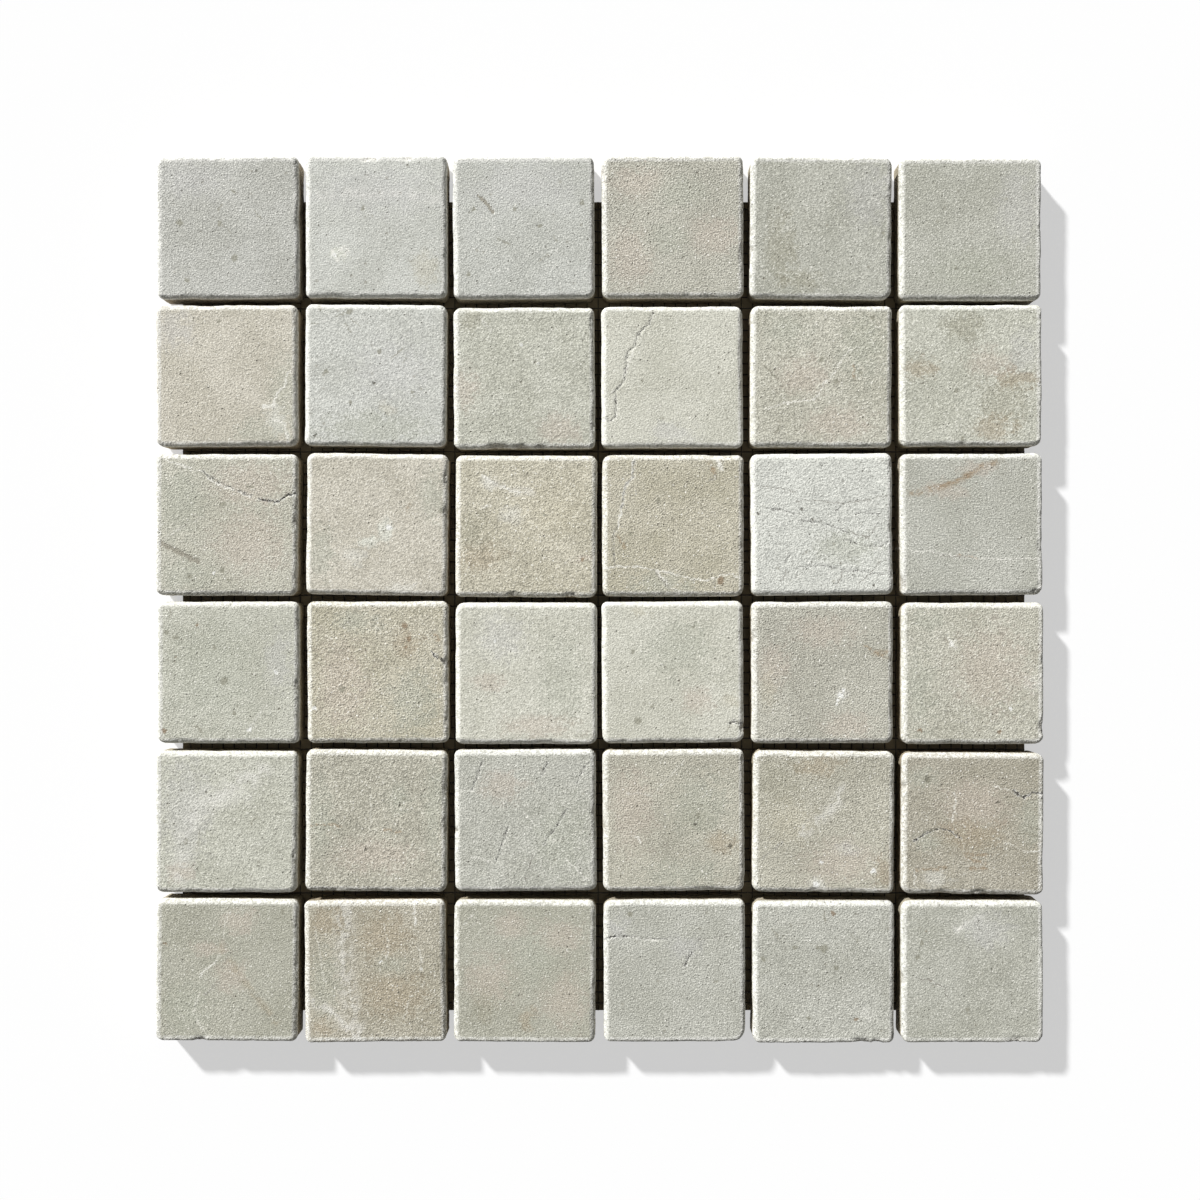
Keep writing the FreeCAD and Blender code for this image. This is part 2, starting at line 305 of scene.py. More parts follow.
                  ("hairline", 0.3, (7.8, -15.6), (4.8, -21.5)),
                  ("hairline", 0.3, (20, -12.7), (16.6, -16.6), (12, -20.6)),
                  ("hairline", 0.3, (9.7, -2.9), (16, -4.5), (18.5, -1))],
        "spots": [("dark", (-7, 5.2, 0.6), (17.6, -20.6, 0.45), (10.6, -17.4, 0.4),
                   (-21.6, 3.6, 0.4), (-3.4, 2, 0.4))],
        "patches": [("green", (8, -8, 12, 6))],
    },
    (3, 6): {
        "tone": "grey",
        "lines": [("rust", 1.1, (-21.1, 10.5), (-12.9, 12), (-5.2, 14.6), (-1.1, 16.7),
                   (3, 19.2), (10.2, 22)),
                  ("rust", 0.5, (-10, 13.4), (-5.2, 14.8), (-1.1, 16.9), (3, 19.3)),
                  ("vein", 0.34, (-24.8, -8), (-19.4, -9.2), (-13.5, -9.2), (-8.6, -10.7),
                   (-2.7, -11), (3.2, -11.7), (14, -11.9), (23.9, -11.7)),
                  ("rust", 0.35, (-4.6, -10.4), (1.8, -11.6)),
                  ("hairline", 0.25, (-13.5, -9.6), (-8.6, -11.1), (-2.7, -11.4))],
        "spots": [("brown", (-4.6, -10.8, 0.6))],
        "patches": [("rose", (-9, 12, 9, 3.4), (2, 19, 8, 3))],
        "chips": [(-24, -20, 3.6, 0.8), (24, -8, 3, 0.5), (22.5, -22.5, 3, 0.8)],
    },
    (4, 1): {
        "tone": "greenGrey",
        "lines": [("streak", 0.3, (-19.7, 21.5), (-19.9, 18.4)),
                  ("streak", 0.5, (-11, -18.4), (-8.6, -20.2)),
                  ("band", 0.3, (7.1, -19.5), (12, -12))],
        "spots": [("brown", (-10.6, 16.4, 0.6)),
                  ("grey", (-21, 13.8, 0.9), (-18, 12, 0.7), (-1.6, -3, 1.4)),
                  ("brown", (-18, 5.4, 0.4)), ("grey", (-4.5, 8.6, 0.6), (2.2, -13.8, 0.7)),
                  ("brown", (-22, -20, 0.8)), ("white", (7.1, -19.5, 0.7), (16.4, 0.2, 0.6))],
        "patches": [("green", (-6, 0, 18, 18)), ("lilac", (17, 4, 5, 11))],
        "chips": [(24, -4, 3, 0.5)],
    },
    (4, 2): {
        "tone": "deepSand", "mottled": 1.2,
        "lines": [("streak", 0.35, (-17.6, 7.9), (-14, 8.4), (-11, 8.5)),
                  ("streak", 0.25, (-16.6, 7), (-11.2, 6.6)),
                  ("crack", 0.35, (18.8, 6.6), (21.2, 4.6), (23.2, 3.3)),
                  ("streak", 0.25, (-5.3, -1.8), (-1.4, 1.2)),
                  ("rust", 0.6, (19.6, 13), (21, 11))],
        "spots": [("brown", (9.2, 15.9, 1.1), (10.9, 11.5, 1), (9.8, 8.6, 0.7)),
                  ("grey", (-12, -5.7, 1.1)), ("white", (-21.7, -12.3, 0.8)),
                  ("dark", (23.6, 3.3, 0.6))],
        "patches": [("rose", (-12, -4, 10, 18)), ("brown", (10, 10, 5, 6)),
                    ("green", (12, -10, 9, 12), (-8, 17, 8, 4))],
        "chips": [(24, 3.3, 2.2, 0.9), (24, -2.5, 3, 0.6)],
    },
    (4, 3): {
        "tone": "pale",
        "lines": [("band", 0.25, (16, -19.4), (20, -19.8))],
        "spots": [("white", (-10.4, 11, 0.5))],
        "patches": [("lilac", (-8, 12, 9, 8)), ("rose", (-13, -3, 7, 3)),
                    ("green", (12, -2, 9, 16)), ("rose", (4, -18, 14, 4))],
    },
    (4, 4): {
        "tone": "pale",
        "lines": [("crack", 0.5, (19.6, -17.6), (21.1, -16.7), (22, -17.4), (23.6, -17.5)),
                  ("streak", 0.4, (19.4, -18.4), (18.2, -20.4))],
        "spots": [("grey", (-13.8, 7.1, 0.7), (-12, -16.5, 1.4), (-6.9, -11.6, 0.6),
                   (7, 15.4, 0.6)), ("dark", (-23, 4, 0.4))],
        "patches": [("rose", (8.4, -9.6, 6, 5)), ("yellow", (20, -9.6, 4, 3), (-11.3, 21, 4, 2)),
                    ("green", (2, 8, 14, 10))],
        "chips": [(24, -19, 2, 0.7)],
    },
    (4, 5): {
        "tone": "dullStone",
        "lines": [("rust", 0.6, (14.7, 9), (20, 5.8), (23, 7.6)),
                  ("thread", 0.3, (6, 4.4), (7.6, 0.4))],
        "spots": [("white", (7.2, -6, 0.8), (6.2, -7.6, 0.9), (5.2, -9.4, 0.7),
                   (4.6, -10.8, 0.5))],
        "patches": [("brown", (19.6, 6.8, 3.4, 1.6)),
                    ("rose", (0, 14, 12, 6), (-17, 2, 6, 8), (8, -18, 10, 5)),
                    ("white", (6.4, -8, 2, 3.2)), ("yellow", (-19, -6, 3, 7))],
        "chips": [(-24, 12, 3, 0.6)],
    },
    (4, 6): {
        "tone": "beige",
        "lines": [("thread", 0.3, (8.8, -5.2), (9.4, -7.2), (13.1, -12.1)),
                  ("vein", 0.5, (4.6, -8.8), (6.4, -8.6)),
                  ("vein", 0.35, (-8.9, 13.4), (-7.6, 10.4), (-5.6, 8.6)),
                  ("vein", 0.35, (-8.4, 8.8), (-7.2, 10.4), (-5.6, 11.6))],
        "spots": [("white", (-7.3, 10.2, 0.9), (13, -12.2, 0.7)),
                  ("brown", (23.2, 8, 0.8), (-18.4, -19.5, 0.9), (9.1, -20, 0.8)),
                  ("grey", (8.8, 13.6, 0.6))],
        "patches": [("green", (-18, -6, 5, 14), (-16, 18, 6, 4)),
                    ("white", (20, -3.7, 3.4, 3.4)), ("rose", (6, 2, 14, 16))],
        "chips": [(23.6, -18.6, 2.8, 0.8)],
    },
    (5, 1): {
        "tone": "greenGrey",
        "lines": [("streak", 0.3, (-9.1, -2.9), (-9.8, -9.7)),
                  ("streak", 0.45, (10, 1.6), (8.3, -1.1)),
                  ("band", 3, (-16, -18), (-12, 0), (0, 11), (12, 17))],
        "spots": [("grey", (-14, -6.6, 0.9)), ("dark", (-9.6, -16.1, 0.5)),
                  ("grey", (-21, 0.2, 0.6)), ("dark", (-6.9, 10.4, 0.35)),
                  ("grey", (-11.6, 3.6, 0.6))],
        "patches": [("lilac", (-14, 4, 9, 18)), ("rose", (-16, -17, 5, 4)),
                    ("white", (-4, 8, 12, 4))],
        "chips": [(24, -12, 3, 0.5)],
    },
    (5, 2): {
        "tone": "dullBeige",
        "lines": [("rust", 0.35, (-23, -1.4), (-14.2, -1.2), (-12, -2.1)),
                  ("rust", 0.5, (2.6, -2.9), (8.5, -3.9)),
                  ("thread", 0.3, (-1.9, 8.9), (-1.6, -0.4)),
                  ("thread", 0.25, (-16.1, 21.7), (-16.3, 18.8))],
        "spots": [("dark", (-3.6, -9.7, 0.7), (8.2, 5.4, 0.5)), ("grey", (9.4, 7.6, 0.7))],
        "patches": [("green", (8.5, 7, 5, 6), (-19, 0, 5, 14)), ("rose", (0, -12, 16, 6)),
                    ("green", (20, 4, 4, 18))],
        "chips": [(24, 12, 5, 0.6), (24, -2, 4, 0.6)],
    },
    (5, 3): {
        "tone": "grey",
        "lines": [("dotted", 0.35, (-14.3, 20.7), (-16.2, 15.5), (-18.2, 10.4)),
                  ("dotted", 0.3, (7.4, 19.8), (5.9, 15.8)),
                  ("dotted", 0.32, (20.6, 18.8), (17.7, 12.9)),
                  ("dotted", 0.38, (14.3, 4), (10.8, -1.9), (6.4, -7.8)),
                  ("dotted", 0.35, (-5.9, -2.4), (-9.8, -13.7)),
                  ("hairline", 0.3, (-5.9, 8), (-6.9, 3)),
                  ("hairline", 0.3, (2.5, -11.7), (0, -20.6)),
                  ("vein", 0.3, (-0.5, 3), (3.4, -1.9)),
                  ("vein", 0.35, (13.8, -13.2), (21.6, -20.6)),
                  ("thread", 0.25, (7.4, -7.8), (21.6, -2.9)),
                  ("vein", 0.3, (-22.6, 9.9), (-20.2, 10.4), (-17.7, 9.9)),
                  ("vein", 0.3, (-18.2, -12.7), (-14.3, -13.2), (-10.8, -14.7)),
                  ("thread", 0.3, (3, 11), (7, 7))],
        "spots": [("dark", (-23.4, -3.3, 0.4))],
        "patches": [("rose", (-8, 12, 8, 6)), ("green", (12, -6, 10, 14))],
        "chips": [(-24, -3.3, 1.4, 0.8), (24, 2.6, 2.2, 0.6)],
    },
    (5, 4): {
        "tone": "dullBeige", "mottled": 1.4,
        "lines": [("thread", 0.35, (4.4, 21.7), (-2, 14.5), (-6.4, 9.9)),
                  ("vein", 0.5, (-12.6, -5.8), (-11.4, -7.2)),
                  ("band", 0.3, (-16, 9), (-12, 9.8), (-8, 8.4))],
        "spots": [("dark", (7.4, -1.4, 0.5), (19.4, -8.6, 0.5)), ("grey", (8.2, 2, 0.8))],
        "patches": [("olive", (8, 0.5, 6, 6)), ("green", (9, 5, 11, 12)),
                    ("brown", (16.2, -7.3, 6, 4)), ("green", (4, -18, 14, 5)),
                    ("rose", (-14, 4, 8, 16))],
        "chips": [(-24, -2, 5, 0.6), (22.6, -21, 3, 0.6)],
    },
    (5, 5): {
        "tone": "dullBeige", "mottled": 1.5,
        "lines": [("band", 1.8, (6.4, 11), (4.8, 7), (0.9, 2.6), (-3.6, -0.6), (-7, -3.9)),
                  ("thread", 0.45, (5.4, 8.4), (3, 4.6), (0, 2.4), (-3.4, -0.8)),
                  ("hairline", 0.25, (-13.9, -6.8), (-21.7, -12.7))],
        "spots": [("white", (17.1, -16.6, 1), (-1.1, -13.7, 0.8), (-2.6, -21.5, 1.3))],
        "patches": [("olive", (-16, 14, 9, 9)), ("brown", (-2, 19, 9, 4)),
                    ("rose", (6, -14, 14, 8)), ("white", (-2.6, -21, 3, 2.4)),
                    ("lilac", (8, -9.6, 5, 2.4)), ("yellow", (-12, 0, 10, 8)),
                    ("brown", (21, -17, 4, 6))],
        "chips": [(-2.6, -24, 2.6, 0.8)],
    },
    (5, 6): {
        "tone": "umber", "mottled": 1.4,
        "lines": [("crack", 0.4, (14, 11.4), (15.5, 9.9), (17.5, 8.9), (20, 10.4), (24.4, 10.4)),
                  ("vein", 0.3, (7.2, 12.9), (14, 11.4)),
                  ("vein", 0.35, (-6.1, 10.4), (-5.9, 6), (-7.1, 1.1)),
                  ("crack", 0.25, (-19.9, -5.8), (-15.4, -2.9), (-11.5, -1.7), (-7.6, -2.4),
                   (-3.6, -5.3)), ("rust", 0.5, (-19.4, -15.6), (-13.5, -15.6), (-8.6, -14.7)),
                  ("rust", 0.7, (-2.7, -10.2), (4.7, -10.7)),
                  ("rust", 0.7, (-2.7, -11.7), (2.4, -13), (4.4, -13.2)),
                  ("rust", 0.7, (-0.7, -15.1), (4.2, -15.1)),
                  ("streak", 0.5, (-14, -7.8), (-13, -10.8)),
                  ("vein", 0.4, (18.5, -9.7), (20.5, -9.2), (24.4, -9.5)),
                  ("thread", 0.25, (9, -5.4), (13, -7), (18, -9.4)),
                  ("streak", 0.5, (16, -3), (20, -3.6), (24, -5)),
                  ("streak", 0.4, (17.6, -0.6), (23, -2)),
                  ("vein", 0.35, (-19.6, -16), (-20, -20), (-18.6, -22.6))],
        "spots": [("dark", (-15.4, 15.3, 0.9)), ("grey", (-15.4, 15.3, 1.4)),
                  ("dark", (8.6, 7.4, 0.45))],
        "patches": [("green", (20, 1.1, 5, 10), (-17.4, 15.8, 6, 4)),
                    ("white", (-12.5, -19.1, 5, 3)), ("rose", (0, 6, 12, 10)),
                    ("green", (-15, -6, 6, 4)), ("brown", (0, -4, 12, 6))],
        "chips": [(-24, 12.4, 1.8, 0.9), (-10, -24, 3, 0.7), (3, -24, 4, 0.7)],
    },
    (6, 1): {
        "tone": "dullGreen",
        "lines": [("thread", 0.3, (0.7, 21.2), (-0.6, 15.8), (-1.6, 8), (-3.7, 3)),
                  ("vein", 0.5, (-3.7, 3), (-7.2, 0.1), (-9.1, -1.9)),
                  ("thread", 0.45, (-9.1, -7.3), (-10.6, -10.7), (-11.1, -14.7), (-8.7, -19.6),
                   (-6.7, -22.5)), ("thread", 0.25, (-7, -12), (-6.6, -17)),
                  ("stain", 1, (1.2, 3), (6.1, -3.8), (12, -11.7), (16.9, -17.6)),
                  ("streak", 0.3, (7.4, -6.4), (11, -10.4), (15, -16)),
                  ("stain", 0.6, (-1.4, 9.6), (-2, 6.6)),
                  ("thread", 0.25, (-17, -12), (-14, -18)),
                  ("thread", 0.25, (3.4, -13), (1, -20)),
                  ("hairline", 0.25, (-3, -4), (-7.6, -8.6))],
        "spots": [("brown", (-21, 9, 0.7)), ("grey", (19, 20, 0.7))],
        "patches": [("rose", (1.2, -2, 6, 6), (-6.7, 7.5, 7, 2.6), (4, 17, 7, 5)),
                    ("green", (-14, -12, 8, 10))],
        "chips": [(-9, -24, 2.4, 0.7)],
    },
    (6, 2): {
        "tone": "dullSand", "mottled": 2.4,
        "lines": [("band", 2.6, (-10.4, 21), (-10.2, 12), (-10.4, 3.2), (-9.4, -6.1), (-7, -15),
                   (-5.4, -22.4)), ("thread", 0.35, (-11.6, 14), (-11.4, 6), (-10.6, 2)),
                  ("thread", 0.4, (-9.2, -3), (-8.2, -9), (-7, -15)),
                  ("vein", 0.6, (13.7, 23.7), (13.4, 19.5), (14, 15.4)),
                  ("thread", 0.6, (15, 9), (16, 3), (15.8, 0.6)),
                  ("thread", 0.4, (3, 16), (4.6, 9.3), (4, 4)),
                  ("thread", 0.6, (-16.4, -12.2), (-12.9, -15.3), (-8.8, -19.4)),
                  ("band", 1.5, (-22, -10), (-15.1, -13.7), (-10.2, -18.6), (-5.3, -22.5)),
                  ("thread", 0.35, (-20.4, 15), (-18.6, 6), (-17.4, -3)),
                  ("thread", 0.35, (17, -4), (12, -9), (10, -16))],
        "spots": [("white", (2, 3, 0.6), (16, 1, 0.6))],
        "patches": [("green", (-17, -4, 6, 14)),
                    ("brown", (-17, 17, 6, 5), (3, 12, 10, 9), (6, -8, 13, 9)),
                    ("green", (6, 2, 6, 4)), ("brown", (-18, -19, 4, 4))],
    },
    (6, 3): {
        "tone": "dullGreen",
        "lines": [("thread", 0.25, (-20.6, 10.9), (-17.7, 15.8), (-12.8, 19.8)),
                  ("thread", 0.2, (-18.6, 9), (-14.6, 15), (-9, 19.4)),
                  ("band", 0.3, (-21, 16), (-17, 20))],
        "patches": [("rose", (-4, 16, 8, 5), (-12, -3, 9, 10)), ("green", (4, 6, 8, 12)),
                    ("brown", (0.5, -16.6, 2.6, 4)), ("rose", (14, -10, 9, 10), (12, 12, 8, 6)),
                    ("olive", (-14, -12, 5, 5))],
    },
    (6, 4): {
        "tone": "grey",
        "lines": [("crack", 0.35, (-23.6, 10.9), (-20.2, 11.9)),
                  ("dotted", 0.35, (-20.2, 11.9), (-14.3, 11.9), (-11.3, 11.1), (-6.4, 10.7),
                   (-2.5, 10.9)),
                  ("vein", 0.4, (-14.3, 11.8), (-11.3, 11), (-6.4, 10.4), (-4, 10.6)),
                  ("crack", 0.3, (5.9, 6.5), (3.6, 1.9)),
                  ("hairline", 0.35, (7.9, 10.9), (12, 11), (16.2, 11.9))],
        "spots": [("grey", (-15, 19.4, 0.8), (14, -3.4, 0.6))],
        "patches": [("lilac", (2.5, 8, 7, 4), (-20, 15, 4, 4))],
    },
    (6, 5): {
        "tone": "grey",
        "lines": [("streak", 0.4, (-0.1, 20.7), (0.4, 16.8)), ("streak", 0.3, (9, 13), (12, 10)),
                  ("streak", 0.25, (-18, 15), (-14, 10))],
        "spots": [("grey", (0.1, 8, 1.5)), ("brown", (3, 20.3, 1)),
                  ("grey", (-10, 8.5, 0.8), (4.3, 1.6, 0.8), (-5, -15.6, 0.7)),
                  ("brown", (11.2, -16.1, 0.6)), ("grey", (-20.7, 4.5, 0.9), (-2, 8.4, 0.8))],
        "patches": [("white", (14.7, -14.2, 3, 3))],
        "chips": [(13, -24, 3.6, 0.7), (18, -24, 2, 0.7)],
    },
    (6, 6): {
        "tone": "deepGrey",
        "lines": [("band", 1.2, (-5.1, 14.4), (0.3, 17.3), (4.2, 19.8)),
                  ("vein", 0.8, (-5.1, 14.4), (-2.4, 15.9)),
                  ("hairline", 0.4, (-19.4, -1.9), (-13.5, -3.3), (-9.5, -5.3)),
                  ("hairline", 0.3, (-9.5, -5.3), (-8.6, -9))],
        "spots": [("brown", (-15.9, 14, 0.5)),
                  ("grey", (-17.4, 9.6, 0.8), (-1.7, -12.7, 0.8), (-19, 5, 0.9),
                   (-18.2, 7.4, 0.5))],
        "patches": [("lilac", (5, 14, 9, 6))],
        "chips": [(15, -24, 6, 0.7), (-24, -2, 3, 0.6)],
    },
}

# Corners that wore further than the rest, as in the solids: how many times the usual round.
wornCorners = {
    (1, 5): {(1, -1): 1.5}, (2, 3): {(-1, 1): 1.2}, (4, 4): {(1, -1): 1.3},
    (5, 6): {(-1, -1): 1.3}, (6, 4): {(1, -1): 1.8},
}

tileShape = {
    "side": 48.6,           # mm
    "arris": 1.9,           # mm, the usual round along a face's edge
    "outerArris": 0.55,     # how many times that along the sheet's own four edges
    "arrisChange": 0.30,    # how much that round comes and goes
    "backArris": 0.5,
    "cornerRound": 2.5,     # mm, the upright corners seen from above
    "cornerChange": (0.85, 1.2),
    "lean": 0.10,           # mm, most that a face tips from one side to the other
    "facePlay": 0.05,       # mm, slow rise and fall of a face
    "faceDepth": 1.2,       # mm below the face that it still moves
    "wallPlay": 0.22,       # mm, roughness of the broken sides
    "wallStart": 1.5,       # mm over which it sets in, below the face's edge
    "hollow": 0.35,         # mm, slow hollows in the sides
    "crumble": 0.60,        # mm, depth of the small bites along the arrises
    "crumbleFrom": 0.12,    # where the waves are lower than this nothing crumbles
    "crumbleReach": 2.6,    # mm from an edge that stone crumbles away
    "deepestBite": 1.1,     # mm
    "biteShare": 0.75,      # of a bite, inwards and downwards
    "carvedDepth": 0.3,     # mm, a line deeper than this is cut into the mesh
    "carvedShare": 0.8,     # of its depth
    "carvedReach": 0.9,     # mm beside it that get a finer mesh
    "fineStep": 0.32,       # mm between the mesh's lines beside an edge
    "coarseStep": 0.80,     # mm between them over the face
    "fineBand": 3.2,        # mm, how far in from the edge the fine lines go
    # mm below the face of the mesh's level lines
    "levels": (0.35, 0.7, 1.05, 1.4, 1.85, 2.6, 3.8, 5.4, 7.2, 8.8, 9.45),
}
tileWaves = {  # the unevenness of each part, as how many waves to the mm and how strong
    "arris": [(0.11, 1.0)],
    "arrisQuick": [(0.35, 0.6)],
    "face": [(0.06, 0.8), (1.1, 0.25)],
    "wall": [(0.45, 0.5), (1.3, 0.4)],
    "hollow": [(0.09, 1.0)],
    "bite": [(0.42, 0.62), (1.25, 0.5)],
    "chip": [(0.9, 0.7)],
    "groove": [(0.9, 0.9)],
}
tileCorners = ((-1, -1), (1, -1), (1, 1), (-1, 1))

# The sheet's own edges: whether a row or a column lies along it, which, and the way out.
sheetEdges = ((0, 1, (0, 1, 0)), (0, 6, (0, -1, 0)), (1, 1, (-1, 0, 0)), (1, 6, (1, 0, 0)))


def within(value, low, high):
    return max(low, min(high, value))


def ripple(where, part):
    return sum(strong * noise.noise(where * many) for many, strong in tileWaves[part])


def addPiece(name, bm):
    mesh = bpy.data.meshes.new(name)
    bm.to_mesh(mesh)
    bm.free()
    piece = bpy.data.objects.new(name, mesh)
    bpy.context.scene.collection.objects.link(piece)
    return piece


def gridLines(half, shape):  # the mesh's lines from edge to edge
    outer = []
    inset = shape["fineStep"]
    while inset < shape["fineBand"]:
        outer.append(half - inset)
        inset += shape["fineStep"] * (1 + 0.35 * inset / shape["fineBand"])
    inner = half - shape["fineBand"]
    count = round(2 * inner / shape["coarseStep"])
    middle = [-inner + 2 * inner * i / count for i in range(count + 1)]
    return sorted([-line for line in outer] + middle + outer)


# An unworn tile in mm, cut into a grid that is finer beside its edges.
def makeBlank(thickness, shape):
    side = shape["side"]
    bm = bmesh.new()
    bmesh.ops.create_cube(bm, size=1.0)
    bmesh.ops.scale(bm, vec=(side, side, thickness), verts=bm.verts)
    bmesh.ops.translate(bm, vec=(0, 0, thickness / 2), verts=bm.verts)
    lines = gridLines(side / 2, shape)
    cuts = [((line, 0, 0), (1, 0, 0)) for line in lines]
    cuts += [((0, line, 0), (0, 1, 0)) for line in lines]
    cuts += [((0, 0, thickness - level), (0, 0, 1)) for level in shape["levels"]]
    for place, normal in cuts:
        everything = bm.verts[:] + bm.edges[:] + bm.faces[:]
        bmesh.ops.bisect_plane(bm, geom=everything, dist=1e-5, plane_co=place, plane_no=normal)
    back = [face for face in bm.faces if face.normal.z < -0.9]
    bmesh.ops.dissolve_faces(bm, faces=back, use_verts=False)
    return bm


# A blank's point moved to where tumbling leaves it, and how near the face's edge it is.
def wearAt(point, thickness, rounds, arrisAt, shape):
    half = shape["side"] / 2
    x, y, z = point
    signX, signY = (1 if x >= 0 else -1), (1 if y >= 0 else -1)
    radius = rounds.get((signX, signY), 1.0) * shape["cornerRound"]
    ax, ay = abs(x), abs(y)
    dx, dy = ax - (half - radius), ay - (half - radius)
    if dx > 0 and dy > 0:
        reach, length = max(dx, dy), math.hypot(dx, dy)
        outward = Vector((signX * dx / length, signY * dy / length, 0))
        ax, ay = half - radius + dx * reach / length, half - radius + dy * reach / length
        inset = radius - reach
    elif ax > ay:
        outward, inset = Vector((signX, 0, 0)), half - ax
    else:
        outward, inset = Vector((0, signY, 0)), half - ay
    place = Vector((signX * ax, signY * ay, z))
    down = thickness - z
    arris = arrisAt(place)
    if inset < arris and down < arris:
        p, q = arris - inset, arris - down
        length = math.hypot(p, q)
        if length > 1e-9:
            grow = max(p, q) / length
            place -= outward * (arris - p * grow - inset)
            place.z = thickness - (arris - q * grow)
    back = shape["backArris"]
    if z < back:
        place -= outward * (back - math.sqrt(back * back - (back - z) ** 2))
    edge = max(0.0, 1 - math.hypot(inset, down) / shape["crumbleReach"])
    return place, outward, edge, inset, down


def lineGap(place, points):  # how far a point on the face is from a drawn line
    best = 99.0
    for (ax, ay), (bx, by) in zip(points, points[1:]):
        ux, uy = bx - ax, by - ay
        t = ((place.x - ax) * ux + (place.y - ay) * uy) / (ux * ux + uy * uy)
        t = within(t, 0.0, 1.0)
        best = min(best, math.hypot(place.x - ax - t * ux, place.y - ay - t * uy))
    return best


# Cuts the cracks into a tile's face: a finer mesh along each, then a ragged groove.
def carve(bm, lines, thickness, shift, shape):
    for _, _, *points in lines:
        near = set()
        for face in bm.faces:
            middle = face.calc_center_median()
            if face.normal.z > 0.7 and lineGap(middle, points) < shape["carvedReach"]:
                near.update(face.edges)
        bmesh.ops.subdivide_edges(bm, edges=list(near), cuts=1, use_grid_fill=True)
    for vert in bm.verts:
        if vert.co.z < thickness - 2.0:
            continue
        for kind, width, *points in lines:
            gap, reach = lineGap(vert.co, points), width * 1.1
            if gap < reach:
                dotted = max(0.0, 0.55 + ripple(vert.co + shift, "groove"))
                deep = lineKinds[kind]["depth"] * shape["carvedShare"]
                vert.co.z -= deep * (1 - gap / reach) * dotted


def makeTile(name, blank, centre, turn, thickness, key, look, shape):
    side = shape["side"]
    bm = blank.copy()
    outerWays = [Vector(way) for index, last, way in sheetEdges if key[index] == last]
    rand = random.Random(key[0] * 31 + key[1] * 7)
    shift = Vector([rand.uniform(-90, 90) for _ in range(3)])
    lean = Vector([rand.uniform(-1, 1) for _ in range(2)]) * shape["lean"] / side
    rounds = {corner: rand.uniform(*shape["cornerChange"]) for corner in tileCorners}
    rounds.update(wornCorners.get(key, {}))
    chips = look.get("chips", [])
    carved = [line for line in look.get("lines", [])
              if lineKinds[line[0]].get("depth", 0) > shape["carvedDepth"]]

    def arrisAt(place):
        swell = ripple(place + shift, "arris") + ripple(place - shift, "arrisQuick")
        outer = 0.0   # one where the sheet's own edge is the nearest
        for way in outerWays:
            ahead = place.dot(way)
            aside = abs(place.x * way.y) + abs(place.y * way.x)
            outer += within((ahead - aside) / 3 + 0.5, 0.0, 1.0)
        share = 1 - (1 - shape["outerArris"]) * min(1.0, outer)
        return shape["arris"] * share * (1 + shape["arrisChange"] * swell)

    def biteAt(place, where, edge):
        ragged = ripple(where, "bite") - shape["crumbleFrom"]
        bite = max(0.0, ragged) * shape["crumble"] * edge
        for right, up, reach, deep in chips:
            gap = math.hypot(place.x - right, place.y - up) / reach
            if gap < 1:
                torn = max(0.0, 0.6 + ripple(where, "chip"))
                bite = max(bite, deep * (1 - gap * gap) * torn * min(1.0, edge * 1.7))
        return min(bite, shape["deepestBite"])

    arrisNearness = bm.verts.layers.float.new("arrisNearness")
    bitten = bm.verts.layers.float.new("bitten")
    for vert in bm.verts:
        place, outward, edge, inset, down = wearAt(vert.co, thickness, rounds, arrisAt, shape)
        where = place + shift
        face = max(0.0, 1 - down / shape["faceDepth"])
        low = shape["facePlay"] * (1.05 + ripple(where, "face"))
        for tip, way in zip(lean, place):
            low += abs(tip) * side / 2 + tip * way
        push = 0.0
        if inset < 0.3:
            wall = within((down - shape["faceDepth"]) / shape["wallStart"], 0.0, 1.0)
            push = wall * shape["wallPlay"] * max(0.0, 0.5 + ripple(where, "wall"))
        if inset < 1.5:
            push += max(0.0, ripple(place - shift, "hollow")) * shape["hollow"]
        bite = biteAt(place, where, edge) if edge > 0 else 0.0
        place -= outward * (push + bite * shape["biteShare"])
        topPart = 1 if down < shape["crumbleReach"] else 0
        place.z -= face * low + bite * shape["biteShare"] * topPart
        place.z = max(0.0, place.z)
        vert.co = place
        vert[arrisNearness] = edge
        vert[bitten] = min(1.0, bite * 1.8)
    if carved:
        carve(bm, carved, thickness, shift, shape)

    for face in bm.faces:
        face.smooth = len(face.verts) <= 8
    place = Matrix.Translation(centre) @ Matrix.Rotation(turn, 4, "Z") @ Matrix.Scale(mm, 4)
    bmesh.ops.transform(bm, matrix=place, verts=bm.verts)
    return addPiece(name, bm)


def newTree(name):  # an empty material, and its node tree
    material = bpy.data.materials.new(name)
    material.use_nodes = True
    material.node_tree.nodes.clear()
    return material, material.node_tree


def addNode(tree, kind, **settings):
    node = tree.nodes.new(kind)
    for name, value in settings.items():
        setattr(node, name, value)
    return node


def feed(tree, socket, value):
    if isinstance(value, bpy.types.NodeSocket):
        tree.links.new(value, socket)
    else:
        socket.default_value = value


def sums(tree, operation, *values):
    node = addNode(tree, "ShaderNodeMath", operation=operation)
    for socket, value in zip(node.inputs, values):
        feed(tree, socket, value)
    return node.outputs[0]


def scaled(tree, value, amount):
    return sums(tree, "MULTIPLY", value, amount)


def evened(tree, value, amount):  # a pattern that swings to either side of zero
    return scaled(tree, sums(tree, "SUBTRACT", value, 0.5), amount)


def vectors(tree, operation, *values):
    node = addNode(tree, "ShaderNodeVectorMath", operation=operation)
    slot = {"SCALE": [0, 3]}.get(operation, [0, 1, 2])
    for index, value in zip(slot, values):
        feed(tree, node.inputs[index], value)
    return node.outputs["Value" if operation in ("LENGTH", "DISTANCE") else "Vector"]


